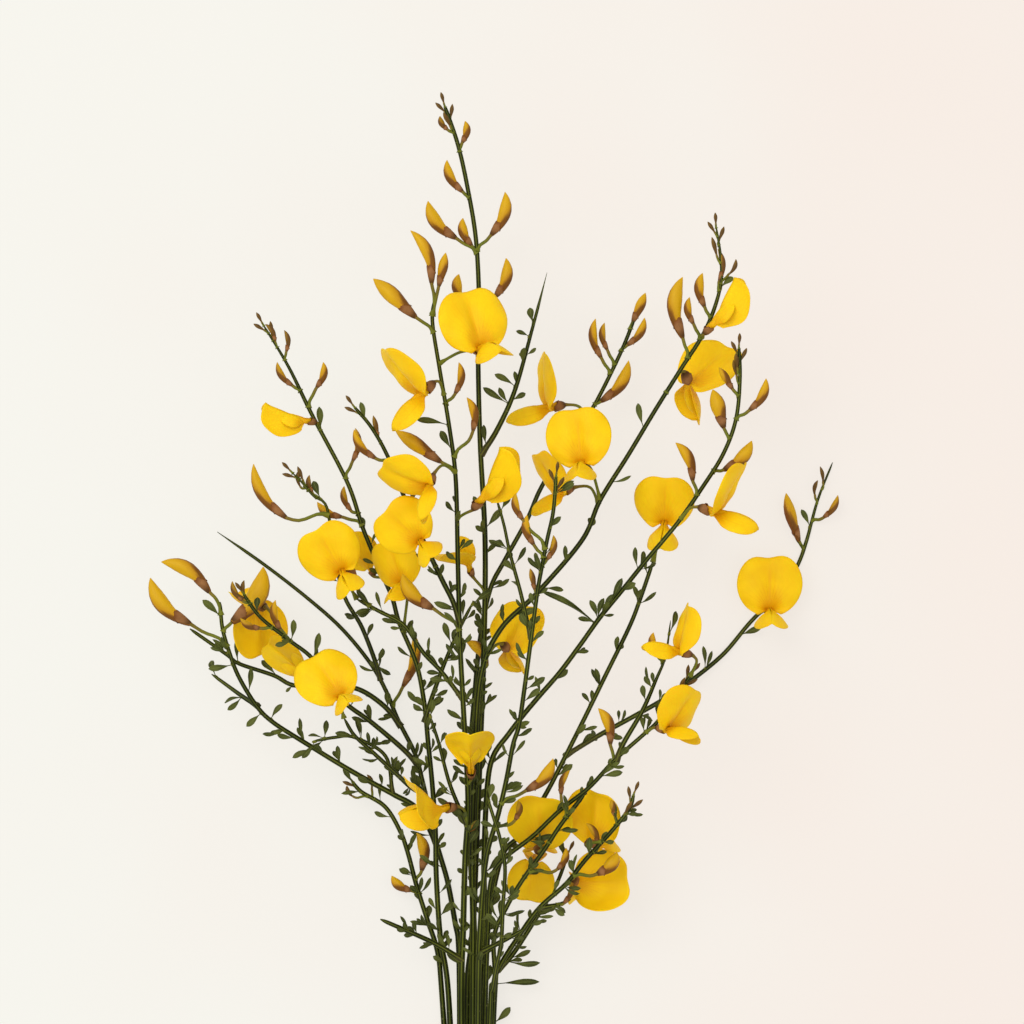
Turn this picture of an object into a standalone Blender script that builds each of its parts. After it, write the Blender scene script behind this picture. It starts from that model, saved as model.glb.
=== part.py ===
# A cut bunch of flowering broom lying on a table, seen from above.
# Each stem carries its side shoots, leaflets, stalks, calyces and closed buds in one piece,
# and each open flower is a piece of its own that sits just clear of its calyx.
# X runs across the bunch, Y from the cut ends to the tips, Z up. Lengths below are in
# millimetres unless a name says pixel, column or row.

import math

import bpy
import numpy as np

for old in list(bpy.data.objects):
    bpy.data.objects.remove(old, do_unlink=True)

MM = 0.001

# Scale of the traced picture, and the picture point that stands over the origin
MM_PER_PIXEL = 0.3
FOOT_COLUMN = 470
FOOT_ROW = 1024

# Bundle of cut ends
CUT_END = -60.0
BUNDLE_TOP = 8.0
HELD_LENGTH = 20.0
HELD_PITCH = 2.5
ROW_PITCH = 3.2

# Width of a stem where the bundle opens, as a share of its width at the cut end
WAIST_SHARE = 0.74

STEM_SIDES = 5
FLAT_SHARE = math.cos(math.pi / STEM_SIDES)
SHOOT_SIDES = 4
STALK_SIDES = 4
KEEL_SIDES = 4
SMALL_BUD_SIDES = 3
ROUTE_TOLERANCE = 0.88
SAMPLE_STEP = 1.2

# Share of its length at which a branch that comes down to the table reaches it
TOUCHDOWN = 0.55

# Pieces that must not touch keep this much air between them
CLEARANCE = 0.35
TABLE_GAP = 0.3

# Flower, full size
BANNER_RADIUS = 9.9
BANNER_CENTRE = 8.0
BANNER_NOTCH = 1.3
BANNER_SPREAD = math.radians(110)
WING_LENGTH = 13.0
WING_HALF_WIDTH = 3.2
WING_BELLY = 0.5
WING_TENT = math.radians(40)
WING_SPREAD = math.radians(1.5)
KEEL_LENGTH = 11.5
KEEL_HALF_HEIGHT = 2.0
KEEL_HALF_WIDTH = 1.1
CORE_LENGTH = 2.2
CORE_RADIUS = 1.15
CALYX_LENGTH = 3.4
CALYX_RADIUS = 1.75
STALK_RADIUS = 0.45
PETAL_THICKNESS = 0.62
WINGS_HIDDEN = 45

# Turn of the banner's sides round its crease, for each unit of fold, and the largest turn
FOLD_TURN = math.radians(22)
FOLD_LIMIT = math.radians(80)

# Rows of the banner, as a share of the way to its edge and how many points; the wing and the
# calyx, as shares of their length and width; and the shares of its length where the keel has a row
BANNER_ROWS = ((0.55, 5), (1.0, 9))
WING_PROFILE = ((0.0, 0.25), (0.48, 1.0), (0.97, 0.6))
KEEL_ROWS = (0.5, 1.0)
CALYX_PROFILE = ((-0.8, 0.7), (0.0, 1.0))

# What is tried to place a flower clear of the rest: steps of height, and how far it leans up or down
FLOWER_STEP = 0.75
FLOWER_LEANS = (0.0, -0.25, 0.25, -0.5)

# Bud, as shares of its length and of its radius, from the stalk's end to the tip
BUD_PROFILE = ((0.0, 0.45), (0.27, 0.95), (0.72, 0.86), (1.0, 0.14))
SMALL_BUD_PROFILE = ((0.0, 0.6), (0.45, 1.0), (1.0, 0.2))
SMALL_BUD = 1.05
LARGE_BUD = 1.45
LONG_STALK = 5.0
BUD_BEND = 0.13

# Leaflet
LEAFLET_LENGTH = 6.0
LEAFLET_WIDTH = 2.3
LEAFLET_THICKNESS = 0.62
LEAF_TURN = math.radians(137.5)
LEAF_SEED = 11

# Edges flatter than this are shaded smooth
SHARP_EDGE = math.radians(50)

# Main stems: the node, the place across the bundle at the cut end and where the bundle opens, the
# layer, the height of the tip, the width at the cut end and at the tip, and the route to the tip.
MAIN_STEMS = (
    ("left_lowest", "stem_left_lowest", -5.4, -8.6, 0, 8.0, 2.1, 1.2, (
        (437, 955), (427, 923), (416, 888), (407, 854), (399, 832), (384, 808), (360, 793), (350, 781))),
    ("left_bare", "stem_left_spread", -2.75, -3.2, 0, None, 2.3, 0.9, (
        (458, 945), (455, 927), (447, 884), (436, 845), (422, 784), (414, 755), (397, 721),
        (385, 692), (369, 664), (340, 629), (305, 598), (261, 564), (215, 532))),
    ("inner_right", "stem_inner_right", 0.1, 0.3, 0, 15.0, 2.4, 1.1, (
        (474, 940), (470, 850), (470, 760), (475, 690), (480, 640), (490, 590), (505, 560), (527, 520),
        (540, 490), (559, 458), (588, 415), (600, 395), (622, 350), (636, 315))),
    ("far_right", "stem_far_right", 2.75, 3.08, 0, 26.0, 2.1, 1.2, (
        (487, 930), (502, 858), (523, 834), (547, 793), (564, 760), (584, 720), (604, 679), (629, 628),
        (640, 600), (653, 562))),
    ("lowest_right", "stem_lowest_right", 5.2, 7.4, 0, 38.0, 2.1, 1.2, (
        (499, 971), (520, 936), (540, 908), (566, 884), (585, 860), (612, 830), (629, 808), (634, 792))),
    ("left_upper", "stem_left_upper", -4.5, -6.6, 1, 27.0, 2.2, 1.1, (
        (440, 940), (436, 880), (435, 830), (432, 786), (428, 745), (424, 704), (416, 664), (399, 623),
        (392, 598), (380, 570), (363, 529), (347, 482), (312, 415), (288, 366), (262, 323))),
    ("tall", "stem_tall", -0.9, -0.9, 1, 30.0, 2.6, 1.2, (
        (472, 940), (476, 850), (480, 750), (484, 640), (485, 540), (480, 440), (478, 350), (479, 300),
        (476, 240), (468, 190), (458, 145), (444, 104))),
    ("low_right", "stem_low_right", 3.7, 4.6, 2, 42.0, 2.1, 1.1, (
        (488, 930), (491, 882), (503, 860), (533, 836), (560, 810), (589, 787), (614, 760), (642, 735),
        (658, 720), (679, 691), (692, 672))),
    ("left_tall", "stem_left_tall", -2.3, -2.7, 2, 50.0, 2.5, 1.1, (
        (463, 930), (465, 860), (468, 800), (463, 700), (460, 640), (458, 560), (456, 480), (450, 430),
        (440, 370), (433, 325), (434, 302))),
    ("high_right", "stem_high_right", 0.8, 0.8, 2, 46.0, 2.5, 1.1, (
        (473, 930), (472, 860), (474, 780), (480, 680), (500, 630), (537, 593), (582, 540), (600, 500),
        (628, 455), (655, 410), (680, 370), (705, 330), (719, 290), (720, 260), (715, 226))),
    ("mid_right", "stem_mid_right", 2.4, 2.9, 1, 46.0, 2.4, 1.1, (
        (484, 930), (484, 860), (487, 790), (493, 757), (508, 735), (525, 713), (541, 694), (560, 672),
        (580, 645), (600, 617), (622, 590), (646, 560), (663, 540), (680, 519), (700, 490), (722, 455),
        (735, 420), (739, 380), (738, 346))),
    ("low_right_twin", "stem_low_right", 5.1, 7.4, 1, None, 1.9, 1.3, (
        (494, 939), (507, 907), (522, 881), (544, 850), (561, 824), (585, 793))),
    ("thin", "stem_thin", 4.7, 6.2, 3, 40.0, 1.8, 1.0, (
        (492, 993), (496, 969), (501, 945), (503, 905), (505, 867), (500, 838), (494, 818), (487, 796))),
    ("middle", "stem_middle", 2.1, 2.4, 3, 62.0, 2.2, 1.1, (
        (480, 930), (486, 860), (498, 815), (506, 781), (513, 744), (519, 724), (525, 683), (531, 638),
        (537, 593), (541, 570), (547, 539), (553, 511), (556, 474))),
)

# Side shoots: the name, the stem or shoot that it grows from, the height of its tip, its
# width at the root and at the tip, and its route from the root to the tip.
SIDE_SHOOTS = (
    ("tall_spur", "tall", 38.0, 1.7, 0.7, ((483, 455), (497, 430), (515, 390), (532, 330), (547, 273))),
    ("left_tall_branch", "left_tall", 54.0, 1.6, 1.0, (
        (462, 622), (453, 601), (443, 581), (431, 556), (410, 510), (390, 460), (373, 429), (354, 406))),
    ("left_cross", "left_tall", 34.0, 1.4, 1.1, (
        (466, 699), (441, 671), (423, 652), (404, 625), (379, 611), (357, 599))),
    ("left_tall_twig", "left_tall", 30.0, 1.3, 0.9, ((466, 826), (450, 785), (439, 744), (430, 716))),
    ("left_upper_twig", "left_upper", 24.0, 1.5, 0.9, (
        (427, 722), (430, 703), (445, 662), (459, 630), (472, 604))),
    ("left_low", "left_bare", 27.0, 1.7, 1.1, (
        (436, 845), (418, 812), (393, 796), (375, 786), (344, 768), (307, 745), (273, 723), (256, 706),
        (238, 676), (228, 649), (222, 627), (220, 602))),
    ("left_low_twig", "left_low", 9.0, 1.5, 0.9, ((258, 708), (240, 696), (210, 675))),
    ("left_low_thread", "left_low", 21.0, 1.2, 0.9, (
        (393, 796), (385, 757), (354, 738), (334, 738), (312, 742))),
    ("left_flower_shoot", "left_bare", 30.0, 1.5, 1.0, (
        (426, 797), (412, 790), (395, 774), (372, 752), (354, 735), (344, 718))),
    ("left_long", "left_bare", 20.0, 1.6, 1.0, (
        (400, 727), (383, 707), (357, 690), (330, 688), (293, 686), (273, 676), (238, 664), (226, 655),
        (189, 629))),
    ("left_high", "left_bare", 40.0, 1.6, 1.0, (
        (418, 770), (403, 751), (371, 723), (342, 700), (314, 660), (291, 641), (261, 617), (243, 592))),
    ("left_raceme", "left_bare", 40.0, 1.4, 0.9, (
        (379, 680), (375, 664), (361, 627), (344, 596), (334, 552), (327, 507), (314, 496), (302, 482),
        (291, 471))),
    ("far_right_branch", "far_right", None, 1.5, 1.0, (
        (567, 757), (598, 737), (637, 716), (667, 699), (692, 682), (725, 655), (753, 622), (785, 590),
        (800, 565), (809, 540), (820, 500), (835, 462))),
    ("low_right_branch", "low_right", 46.0, 1.6, 0.8, (
        (614, 759), (623, 743), (642, 710), (656, 678), (665, 655), (670, 620))),
    ("lowest_right_twin", "lowest_right", 5.0, 1.5, 1.0, (
        (497, 974), (512, 958), (533, 926), (556, 888), (569, 854))),
    ("lowest_right_loop", "lowest_right", 22.0, 1.4, 1.0, ((541, 907), (560, 905), (571, 900))),
    ("middle_twig", "middle", 50.0, 1.3, 0.8, ((531, 638), (521, 594), (510, 553), (504, 525), (497, 500))),
    ("spur_left", "left_tall", 22.0, 1.6, 1.2, ((465, 961), (431, 943), (380, 920))),
    ("spur_right", "middle", 23.0, 1.6, 1.2, ((481, 953), (508, 939), (524, 930))),
)

# Open flowers: the shoot and the picture point where the stalk leaves it, the picture point of
# the calyx mouth, the way the flower looks and the way its banner stands (x, y, towards the
# viewer), the opening of the banner in degrees, the size, the height of the calyx above the
# shoot, and how far the banner's sides fold back (a minus sign folds them forwards).
FLOWERS = (
    ("bloom_top_left_front", "left_tall", (442, 366), (479, 350),
     (0.36, 0.1, 0.92), (-0.2, 0.95, 0.1), 102, 1.1, 5, 0.6),
    ("bloom_top_left_side", "left_tall", (442, 396), (427, 390),
     (-0.68, -0.62, 0.3), (-0.74, 0.6, 0.25), 92, 1.06, 5, 1.5),
    ("bloom_left_third", "left_tall", (451, 471), (431, 482),
     (-0.35, -0.85, 0.4), (-0.93, 0.02, 0.3), 90, 0.93, 6, 1.4),
    ("bloom_left_fourth", "left_tall_branch", (436, 566), (420, 540),
     (0.15, -0.3, 0.93), (-0.7, 0.68, 0.2), 95, 0.9, 4, 1.6),
    ("bloom_left_fifth", "left_upper", (404, 634), (404, 582),
     (-0.4, -0.3, 0.85), (-0.3, 0.85, 0.25), 95, 0.8, 7, 1.6),
    ("bloom_left_front", "left_cross", (357, 599), (342, 570),
     (0.1, -0.3, 0.9), (-0.45, 0.7, 0.5), 98, 0.95, 3, 1.2),
    ("bloom_left_behind", "left_upper", (384, 578), (371, 571),
     (-0.4, 0.75, -0.3), (-0.4, 0.1, 0.9), 60, 0.7, -3, -1.0),
    ("bloom_centre_half", "left_tall", (458, 517), (479, 502),
     (0.62, 0.78, 0.1), (-0.8, 0.55, 0.25), 22, 0.98, 5, -2.9),
    ("bloom_centre_behind", "tall", (484, 592), (470, 570),
     (-0.35, 0.85, 0.2), (-0.7, -0.2, 0.6), 60, 0.7, 1, -1.0),
    ("bloom_centre_low", "high_right", (487, 662), (506, 648),
     (0.3, -0.3, -0.6), (0.35, 0.9, -0.1), 100, 0.9, -6, 1.2),
    ("bloom_tall_bud", "left_upper", (317, 433), (309, 421),
     (-0.97, 0.2, 0.1), (0.25, 0.82, 0.5), 14, 0.74, 1, -2.4),
    ("bloom_inner_side", "inner_right", (588, 415), (555, 406),
     (-0.96, -0.14, 0.2), (-0.38, 0.92, 0.15), 95, 1.0, 4, 1.1),
    ("bloom_inner_behind", "high_right", (597, 504), (566, 491),
     (-0.75, -0.35, 0.35), (-0.6, 0.8, 0.1), 85, 0.85, -8, 1.6),
    ("bloom_right_front", "high_right", (600, 500), (582, 463),
     (-0.12, -0.12, 0.95), (-0.1, 0.95, 0.1), 98, 1.0, 5, 1.0),
    ("bloom_high_back", "high_right", (664, 395), (687, 380),
     (0.25, -0.6, -0.6), (0.52, 0.85, 0.0), 96, 1.05, -5, 1.6),
    ("bloom_high_half", "high_right", (700, 338), (709, 328),
     (0.64, 0.76, 0.1), (-0.7, 0.65, 0.3), 20, 0.86, 4, -2.9),
    ("bloom_mid_front", "far_right", (653, 562), (665, 521),
     (-0.1, -0.45, 0.85), (0.03, 0.92, 0.2), 98, 0.92, 0, 1.4),
    ("bloom_mid_side", "mid_right", (680, 520), (708, 510),
     (0.94, -0.26, 0.2), (0.5, 0.82, 0.25), 76, 1.04, 4, 1.5),
    ("bloom_far_front", "far_right_branch", (760, 615), (771, 611),
     (0.03, -0.12, 0.98), (0.0, 0.98, 0.1), 98, 1.0, 5, 0.9),
    ("bloom_low_side", "low_right", (690, 675), (683, 652),
     (-0.93, 0.28, 0.12), (0.3, 0.9, 0.1), 88, 0.86, 4, 2.2),
    ("bloom_low_front", "low_right", (645, 733), (663, 728),
     (0.75, -0.1, 0.6), (0.6, 0.75, 0.25), 68, 0.88, 4, 1.8),
    ("bloom_under_left", "low_right_twin", (549, 843), (539, 849),
     (0.05, 0.3, -0.75), (0.02, 0.95, 0.25), 100, 1.0, -6, 1.2),
    ("bloom_under_right", "lowest_right", (602, 842), (591, 843),
     (0.5, 0.15, -0.7), (0.05, 0.95, 0.15), 95, 0.95, -6, 1.6),
    ("bloom_lowest_right", "lowest_right", (556, 896), (575, 882),
     (0.2, -0.25, -0.93), (0.98, 0.0, 0.1), 92, 0.97, -6, 3.0),
    ("bloom_under_low", "low_right_twin", (524, 878), (533, 864),
     (0.05, 0.1, -0.95), (-0.15, -0.95, 0.05), 90, 0.72, -8, 1.0),
    ("bloom_drooping_centre", "left_tall", (467, 786), (471, 771),
     (-0.03, 0.93, 0.35), (0.05, -0.3, 0.93), 22, 0.86, 3, -1.3),
    ("bloom_drooping_left", "left_tall", (466, 826), (447, 808),
     (-0.93, -0.12, 0.3), (0.1, 0.65, 0.7), 56, 0.98, 5, -1.0),
    ("bloom_spread_front", "left_flower_shoot", (344, 718), (341, 697),
     (0.08, 0.05, 0.97), (-0.42, 0.72, 0.3), 110, 0.95, 4, 0.9),
    ("bloom_spread_left", "left_high", (285, 635), (260, 606),
     (-0.5, 0.1, -0.82), (0.1, -0.93, -0.15), 92, 0.95, -15, 1.0),
    ("bloom_spread_low", "left_high", (317, 664), (307, 676),
     (-0.75, 0.6, -0.2), (-0.2, 0.2, 0.9), 28, 0.8, -5, -2.4),
)

# Large and middling buds: the shoot, the calyx's foot, the tip, and the radius
BUDS = (
    ("left_tall", (432, 285), (411, 232), 1.8), ("left_tall", (439, 288), (446, 254), 1.5),
    ("left_tall", (416, 318), (374, 280), 2.3), ("left_tall", (441, 462), (396, 431), 2.1),
    ("left_tall", (455, 395), (459, 363), 1.3), ("left_tall", (473, 432), (467, 398), 1.4),
    ("left_tall", (433, 608), (403, 574), 2.2), ("left_tall", (478, 822), (468, 832), 1.2),
    ("tall", (463, 192), (447, 160), 1.5), ("tall", (491, 235), (505, 192), 1.9),
    ("tall", (456, 238), (428, 201), 2.0), ("tall", (472, 246), (463, 218), 1.5),
    ("tall", (495, 297), (506, 258), 1.8), ("tall", (463, 302), (459, 274), 1.6),
    ("tall", (462, 143), (465, 121), 1.3), ("tall", (448, 130), (440, 116), 1.1),
    ("tall", (487, 664), (466, 642), 1.7),
    ("inner_right", (602, 358), (596, 318), 1.4), ("inner_right", (608, 350), (605, 322), 1.2),
    ("inner_right", (633, 322), (646, 292), 1.5), ("inner_right", (627, 345), (645, 317), 1.4),
    ("inner_right", (601, 401), (629, 360), 1.9),
    ("left_upper", (293, 386), (277, 362), 1.2), ("left_upper", (316, 388), (323, 362), 1.3),
    ("left_upper", (286, 352), (284, 330), 1.0), ("left_upper", (275, 342), (265, 324), 1.0),
    ("left_upper", (352, 462), (355, 428), 1.2), ("left_upper", (351, 511), (344, 486), 1.2),
    ("left_upper", (342, 517), (317, 502), 1.4),
    ("left_tall_branch", (377, 459), (355, 430), 1.4), ("left_tall_branch", (379, 438), (374, 416), 1.0),
    ("left_raceme", (287, 518), (254, 464), 1.8), ("left_cross", (357, 582), (350, 530), 1.9),
    ("left_raceme", (301, 487), (300, 470), 0.9), ("left_raceme", (313, 493), (310, 475), 1.0),
    ("left_bare", (402, 688), (413, 634), 1.7),
    ("left_low", (232, 622), (263, 567), 2.8), ("left_low", (190, 624), (150, 578), 2.3),
    ("left_low", (209, 592), (161, 562), 2.2),
    ("left_high", (244, 601), (233, 581), 1.1), ("left_high", (246, 596), (245, 580), 0.9),
    ("left_high", (261, 628), (241, 618), 1.2), ("left_high", (281, 630), (276, 600), 1.3),
    ("left_lowest", (411, 893), (391, 878), 1.5), ("left_lowest", (421, 873), (416, 835), 1.8),
    ("left_lowest", (352, 798), (346, 787), 0.9), ("left_lowest", (371, 790), (366, 776), 0.9),
    ("high_right", (716, 257), (711, 238), 0.9), ("high_right", (682, 338), (682, 278), 2.2),
    ("high_right", (704, 308), (702, 274), 1.5), ("high_right", (693, 325), (689, 298), 1.3),
    ("high_right", (718, 283), (717, 250), 1.1), ("high_right", (728, 275), (735, 260), 0.9),
    ("mid_right", (732, 390), (718, 368), 1.3), ("mid_right", (723, 428), (712, 390), 2.2),
    ("mid_right", (748, 411), (765, 379), 1.5), ("mid_right", (723, 470), (751, 441), 2.0),
    ("mid_right", (692, 481), (675, 443), 1.7),
    ("far_right_branch", (801, 541), (788, 493), 1.9), ("far_right_branch", (825, 518), (840, 495), 1.2),
    ("far_right_branch", (817, 495), (820, 480), 0.9), ("far_right_branch", (825, 482), (822, 466), 0.8),
    ("low_right", (610, 744), (598, 708), 1.7), ("low_right_branch", (657, 655), (653, 632), 1.3),
    ("low_right_twin", (561, 795), (570, 770), 1.2), ("low_right_twin", (557, 870), (566, 848), 1.3),
    ("lowest_right", (597, 874), (617, 852), 2.0), ("lowest_right", (615, 816), (611, 799), 1.2),
    ("lowest_right", (598, 846), (586, 823), 1.2), ("lowest_right_loop", (563, 905), (572, 880), 1.1),
    ("middle", (526, 790), (553, 758), 1.9), ("middle", (515, 820), (518, 800), 1.2),
    ("middle", (546, 560), (553, 535), 1.2), ("middle", (534, 545), (527, 515), 1.4),
    ("middle", (523, 520), (516, 493), 1.3), ("middle", (535, 590), (530, 568), 1.1),
)

# Small buds crowded at a tip: the shoot and how many
TIP_BUDS = (
    ("tall", 4), ("high_right", 3), ("mid_right", 5), ("left_upper", 3), ("left_tall_branch", 2),
    ("left_raceme", 3), ("far_right_branch", 2), ("low_right", 4), ("lowest_right", 4), ("left_high", 2),
    ("left_lowest", 2), ("lowest_right_twin", 2), ("middle", 3), ("middle_twig", 2),
)

# Leaflets: the shoot, the shares of its length where they start and end, and how many
LEAVES = (
    ("tall_spur", 0.05, 0.75, 4), ("left_tall", 0.38, 0.86, 3), ("tall", 0.38, 0.62, 4),
    ("left_tall_branch", 0.1, 0.95, 3), ("left_cross", 0.1, 0.95, 3), ("left_tall_twig", 0.2, 1.0, 3),
    ("left_upper_twig", 0.2, 1.0, 3), ("left_upper", 0.35, 0.9, 4), ("left_low", 0.1, 0.95, 5),
    ("left_low_twig", 0.3, 1.0, 2), ("left_low_thread", 0.2, 1.0, 2), ("left_flower_shoot", 0.2, 0.9, 2),
    ("left_long", 0.1, 0.8, 4), ("left_high", 0.1, 0.9, 3), ("left_raceme", 0.05, 0.85, 3),
    ("left_bare", 0.3, 0.55, 2), ("left_lowest", 0.3, 0.97, 3), ("inner_right", 0.35, 0.85, 3),
    ("high_right", 0.4, 0.95, 4), ("mid_right", 0.35, 0.7, 4), ("far_right", 0.4, 0.97, 3),
    ("far_right_branch", 0.1, 0.85, 3), ("low_right", 0.4, 0.9, 3), ("low_right_branch", 0.1, 0.9, 3),
    ("low_right_twin", 0.35, 0.95, 3), ("lowest_right", 0.35, 0.85, 3), ("lowest_right_twin", 0.2, 0.9, 2),
    ("middle", 0.35, 0.9, 4), ("middle_twig", 0.1, 0.9, 3), ("thin", 0.3, 1.0, 3),
)

STEM_GREEN = (0.060, 0.105, 0.022, 1.0)
PETAL_YELLOW = (0.930, 0.560, 0.008, 1.0)
STEM_ROUGHNESS = 0.62
PETAL_ROUGHNESS = 0.55


def unit(vector):
    return np.asarray(vector, float) / max(np.linalg.norm(vector), 1e-9)


def on_table(pixel):
    """The point over the table that a picture point stands for, without its height."""
    return np.array([(pixel[0] - FOOT_COLUMN) * MM_PER_PIXEL, (FOOT_ROW - pixel[1]) * MM_PER_PIXEL])


def spline(points, step):
    """Points at even steps along a smooth curve through the given ones."""
    points = np.asarray(points, float)
    padded = np.vstack([2 * points[0] - points[1], points, 2 * points[-1] - points[-2]])
    dense = []
    for before, start, end, after in zip(padded, padded[1:], padded[2:], padded[3:]):
        for t in np.linspace(0, 1, 24, endpoint=False):
            square, cube = t * t, t * t * t
            bent = (2 * before - 5 * start + 4 * end - after) * square
            turned = (3 * start - before - 3 * end + after) * cube
            dense.append(0.5 * (2 * start + (end - before) * t + bent + turned))
    dense.append(points[-1])
    return resample(np.array(dense), step)


def resample(points, step):
    """The same curve with its points at even steps."""
    lengths = np.concatenate([[0], np.cumsum(np.linalg.norm(np.diff(points, axis=0), axis=1))])
    count = max(2, int(round(lengths[-1] / step)) + 1)
    places = np.linspace(0, lengths[-1], count)
    return np.column_stack([np.interp(places, lengths, column) for column in points.T])


def rise(share):
    """How far a shoot has climbed towards its tip's height, at a share of its length."""
    return math.sin(0.5 * math.pi * min(max(share, 0.0), 1.0))


def simplified(points, tolerance):
    """The few of these points whose straight links stay within the tolerance of them all."""
    if len(points) < 3:
        return points
    start, end = points[0, :3], points[-1, :3]
    along = unit(end - start)
    apart = points[:, :3] - start
    apart = np.linalg.norm(apart - np.outer(apart @ along, along), axis=1)
    furthest = int(np.argmax(apart))
    if apart[furthest] <= tolerance:
        return points[[0, -1]]
    first = simplified(points[:furthest + 1], tolerance)
    return np.vstack([first[:-1], simplified(points[furthest:], tolerance)])


def linked(points, step):
    """Points at most a step apart along the straight links between the given ones, which all stay."""
    found = [points[0]]
    for start, end in zip(points, points[1:]):
        count = max(1, int(math.ceil(np.linalg.norm(end[:3] - start[:3]) / step)))
        for index in range(1, count + 1):
            found.append(start + (end - start) * index / count)
    return np.array(found)


class Shoot:
    """The centre line of a stem or side shoot with its radius, as a few rings and as many samples."""

    def __init__(self, name, node, centre, radius, kept=()):
        self.name = name
        self.node = node
        line = np.column_stack([centre, radius])
        ends = [0, *kept, len(line) - 1]
        parts = [simplified(line[first:last + 1], ROUTE_TOLERANCE) for first, last in zip(ends, ends[1:])]
        self.rings = np.vstack([part[:-1] for part in parts] + [line[-1:]])
        samples = linked(self.rings, SAMPLE_STEP)
        centre = samples[:, :3]
        self.centre = centre
        self.radius = samples[:, 3]
        steps = np.linalg.norm(np.diff(centre, axis=0), axis=1)
        self.length = steps.sum()
        self.share = np.concatenate([[0], np.cumsum(steps)]) / self.length

    def at(self, share):
        return np.array([np.interp(share, self.share, column) for column in self.centre.T])

    def tangent(self, share):
        return unit(self.at(min(share + 0.01, 1.0)) - self.at(max(share - 0.01, 0.0)))

    def thickness(self, share):
        return float(np.interp(share, self.share, self.radius))

    def nearest(self, flat):
        """The share of the length that lies nearest to a point over the table."""
        return float(self.share[np.argmin(np.linalg.norm(self.centre[:, :2] - flat, axis=1))])


def main_shoot(name, node, cut_x, x, layer, tip_height, foot_width, tip_width, route, meets=None):
    """A stem from its cut end in the bundle to its tip. The stems lie closest where the bundle is held."""
    held = CUT_END + HELD_LENGTH
    flat = [(cut_x, CUT_END), (cut_x, held), (x, BUNDLE_TOP)] + [on_table(pixel) for pixel in route]
    flat = spline(flat, SAMPLE_STEP)
    start = int(np.argmax(flat[:, 1] > BUNDLE_TOP))
    share = np.clip((np.arange(len(flat)) - start) / (len(flat) - 1 - start), 0, 1)
    opened = np.clip((flat[:, 1] - held) / (BUNDLE_TOP - held), 0, 1)
    waist = foot_width * (1 + (WAIST_SHARE - 1) * opened)
    radius = 0.5 * (waist + (tip_width - waist) * share)
    foot_height = 0.5 * waist * FLAT_SHARE + (HELD_PITCH + (ROW_PITCH - HELD_PITCH) * opened) * layer
    if meets is not None:
        tip_height = meets.at(meets.nearest(flat[-1]))[2]
    if tip_height is None:
        height = radius * FLAT_SHARE
    else:
        climb = np.array([rise(s) for s in share])
        height = foot_height + (tip_height - foot_height) * climb
    kept = (int(np.argmax(flat[:, 1] > held)), start)
    return Shoot(name, node, np.column_stack([flat, height]), radius, kept)


def side_shoot(name, parent, tip_height, root_width, tip_width, route):
    """A shoot that starts on its parent's centre line."""
    root = parent.at(parent.nearest(on_table(route[0])))
    flat = spline([root[:2]] + [on_table(pixel) for pixel in route[1:]], SAMPLE_STEP)
    share = np.linspace(0, 1, len(flat))
    radius = 0.5 * (root_width + (tip_width - root_width) * share)
    if tip_height is None:
        resting = radius * FLAT_SHARE
        height = resting + (root[2] - resting) * np.clip(1 - share / TOUCHDOWN, 0, 1) ** 2
    else:
        height = np.array([root[2] + (tip_height - root[2]) * rise(s) for s in share])
    return Shoot(name, parent.node, np.column_stack([flat, height]), radius)


def all_shoots():
    shoots = {}
    for row in MAIN_STEMS:
        meets = shoots["low_right"] if row[0] == "low_right_twin" else None
        shoots[row[0]] = main_shoot(*row, meets)
    for name, parent, tip_height, root_width, tip_width, route in SIDE_SHOOTS:
        shoots[name] = side_shoot(name, shoots[parent], tip_height, root_width, tip_width, route)
    return shoots


class Space:
    """Every placed piece as small balls, so that the next one can be placed clear of the rest."""

    def __init__(self):
        self.balls = np.zeros((0, 4))
        self.owners = np.zeros(0, int)
        self.names = []

    def number(self, owner):
        if owner not in self.names:
            self.names.append(owner)
        return self.names.index(owner)

    def add(self, owner, balls):
        self.balls = np.vstack([self.balls, balls])
        self.owners = np.concatenate([self.owners, np.full(len(balls), self.number(owner))])

    def room(self, balls, ignored=()):
        """The smallest gap from these balls to the table and to any piece that isn't ignored."""
        gap = float((balls[:, 2] - balls[:, 3]).min()) - TABLE_GAP + CLEARANCE
        low = (balls[:, :3] - balls[:, 3:]).min(axis=0) - 4
        high = (balls[:, :3] + balls[:, 3:]).max(axis=0) + 4
        near = ((self.balls[:, :3] > low) & (self.balls[:, :3] < high)).all(axis=1)
        for owner in ignored:
            near &= self.owners != self.number(owner)
        others = self.balls[near]
        if len(others):
            apart = np.linalg.norm(balls[:, None, :3] - others[None, :, :3], axis=2)
            gap = min(gap, float((apart - balls[:, None, 3] - others[None, :, 3]).min()))
        return gap


def tube_mesh(centre, radius, sides, up=(0, 0, 1), level=False):
    """A closed tube through the given points. A level one keeps each ring upright, with a flat side down."""
    centre = np.asarray(centre, float)
    tangents = np.gradient(centre, axis=0)
    points = []
    for middle, tangent, size in zip(centre, tangents, radius):
        along = unit([tangent[0], tangent[1], 0]) if level else unit(tangent)
        side = np.cross(along, up)
        if np.linalg.norm(side) < 0.2:
            side = np.cross(along, (1, 0, 0))
        side = unit(side)
        over = np.cross(side, along)
        for index in range(sides):
            angle = 2 * math.pi * (index + 0.5) / sides - 0.5 * math.pi
            points.append(middle + size * (math.cos(angle) * side + math.sin(angle) * over))
    return np.array(points), ring_faces(len(centre), sides)


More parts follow.
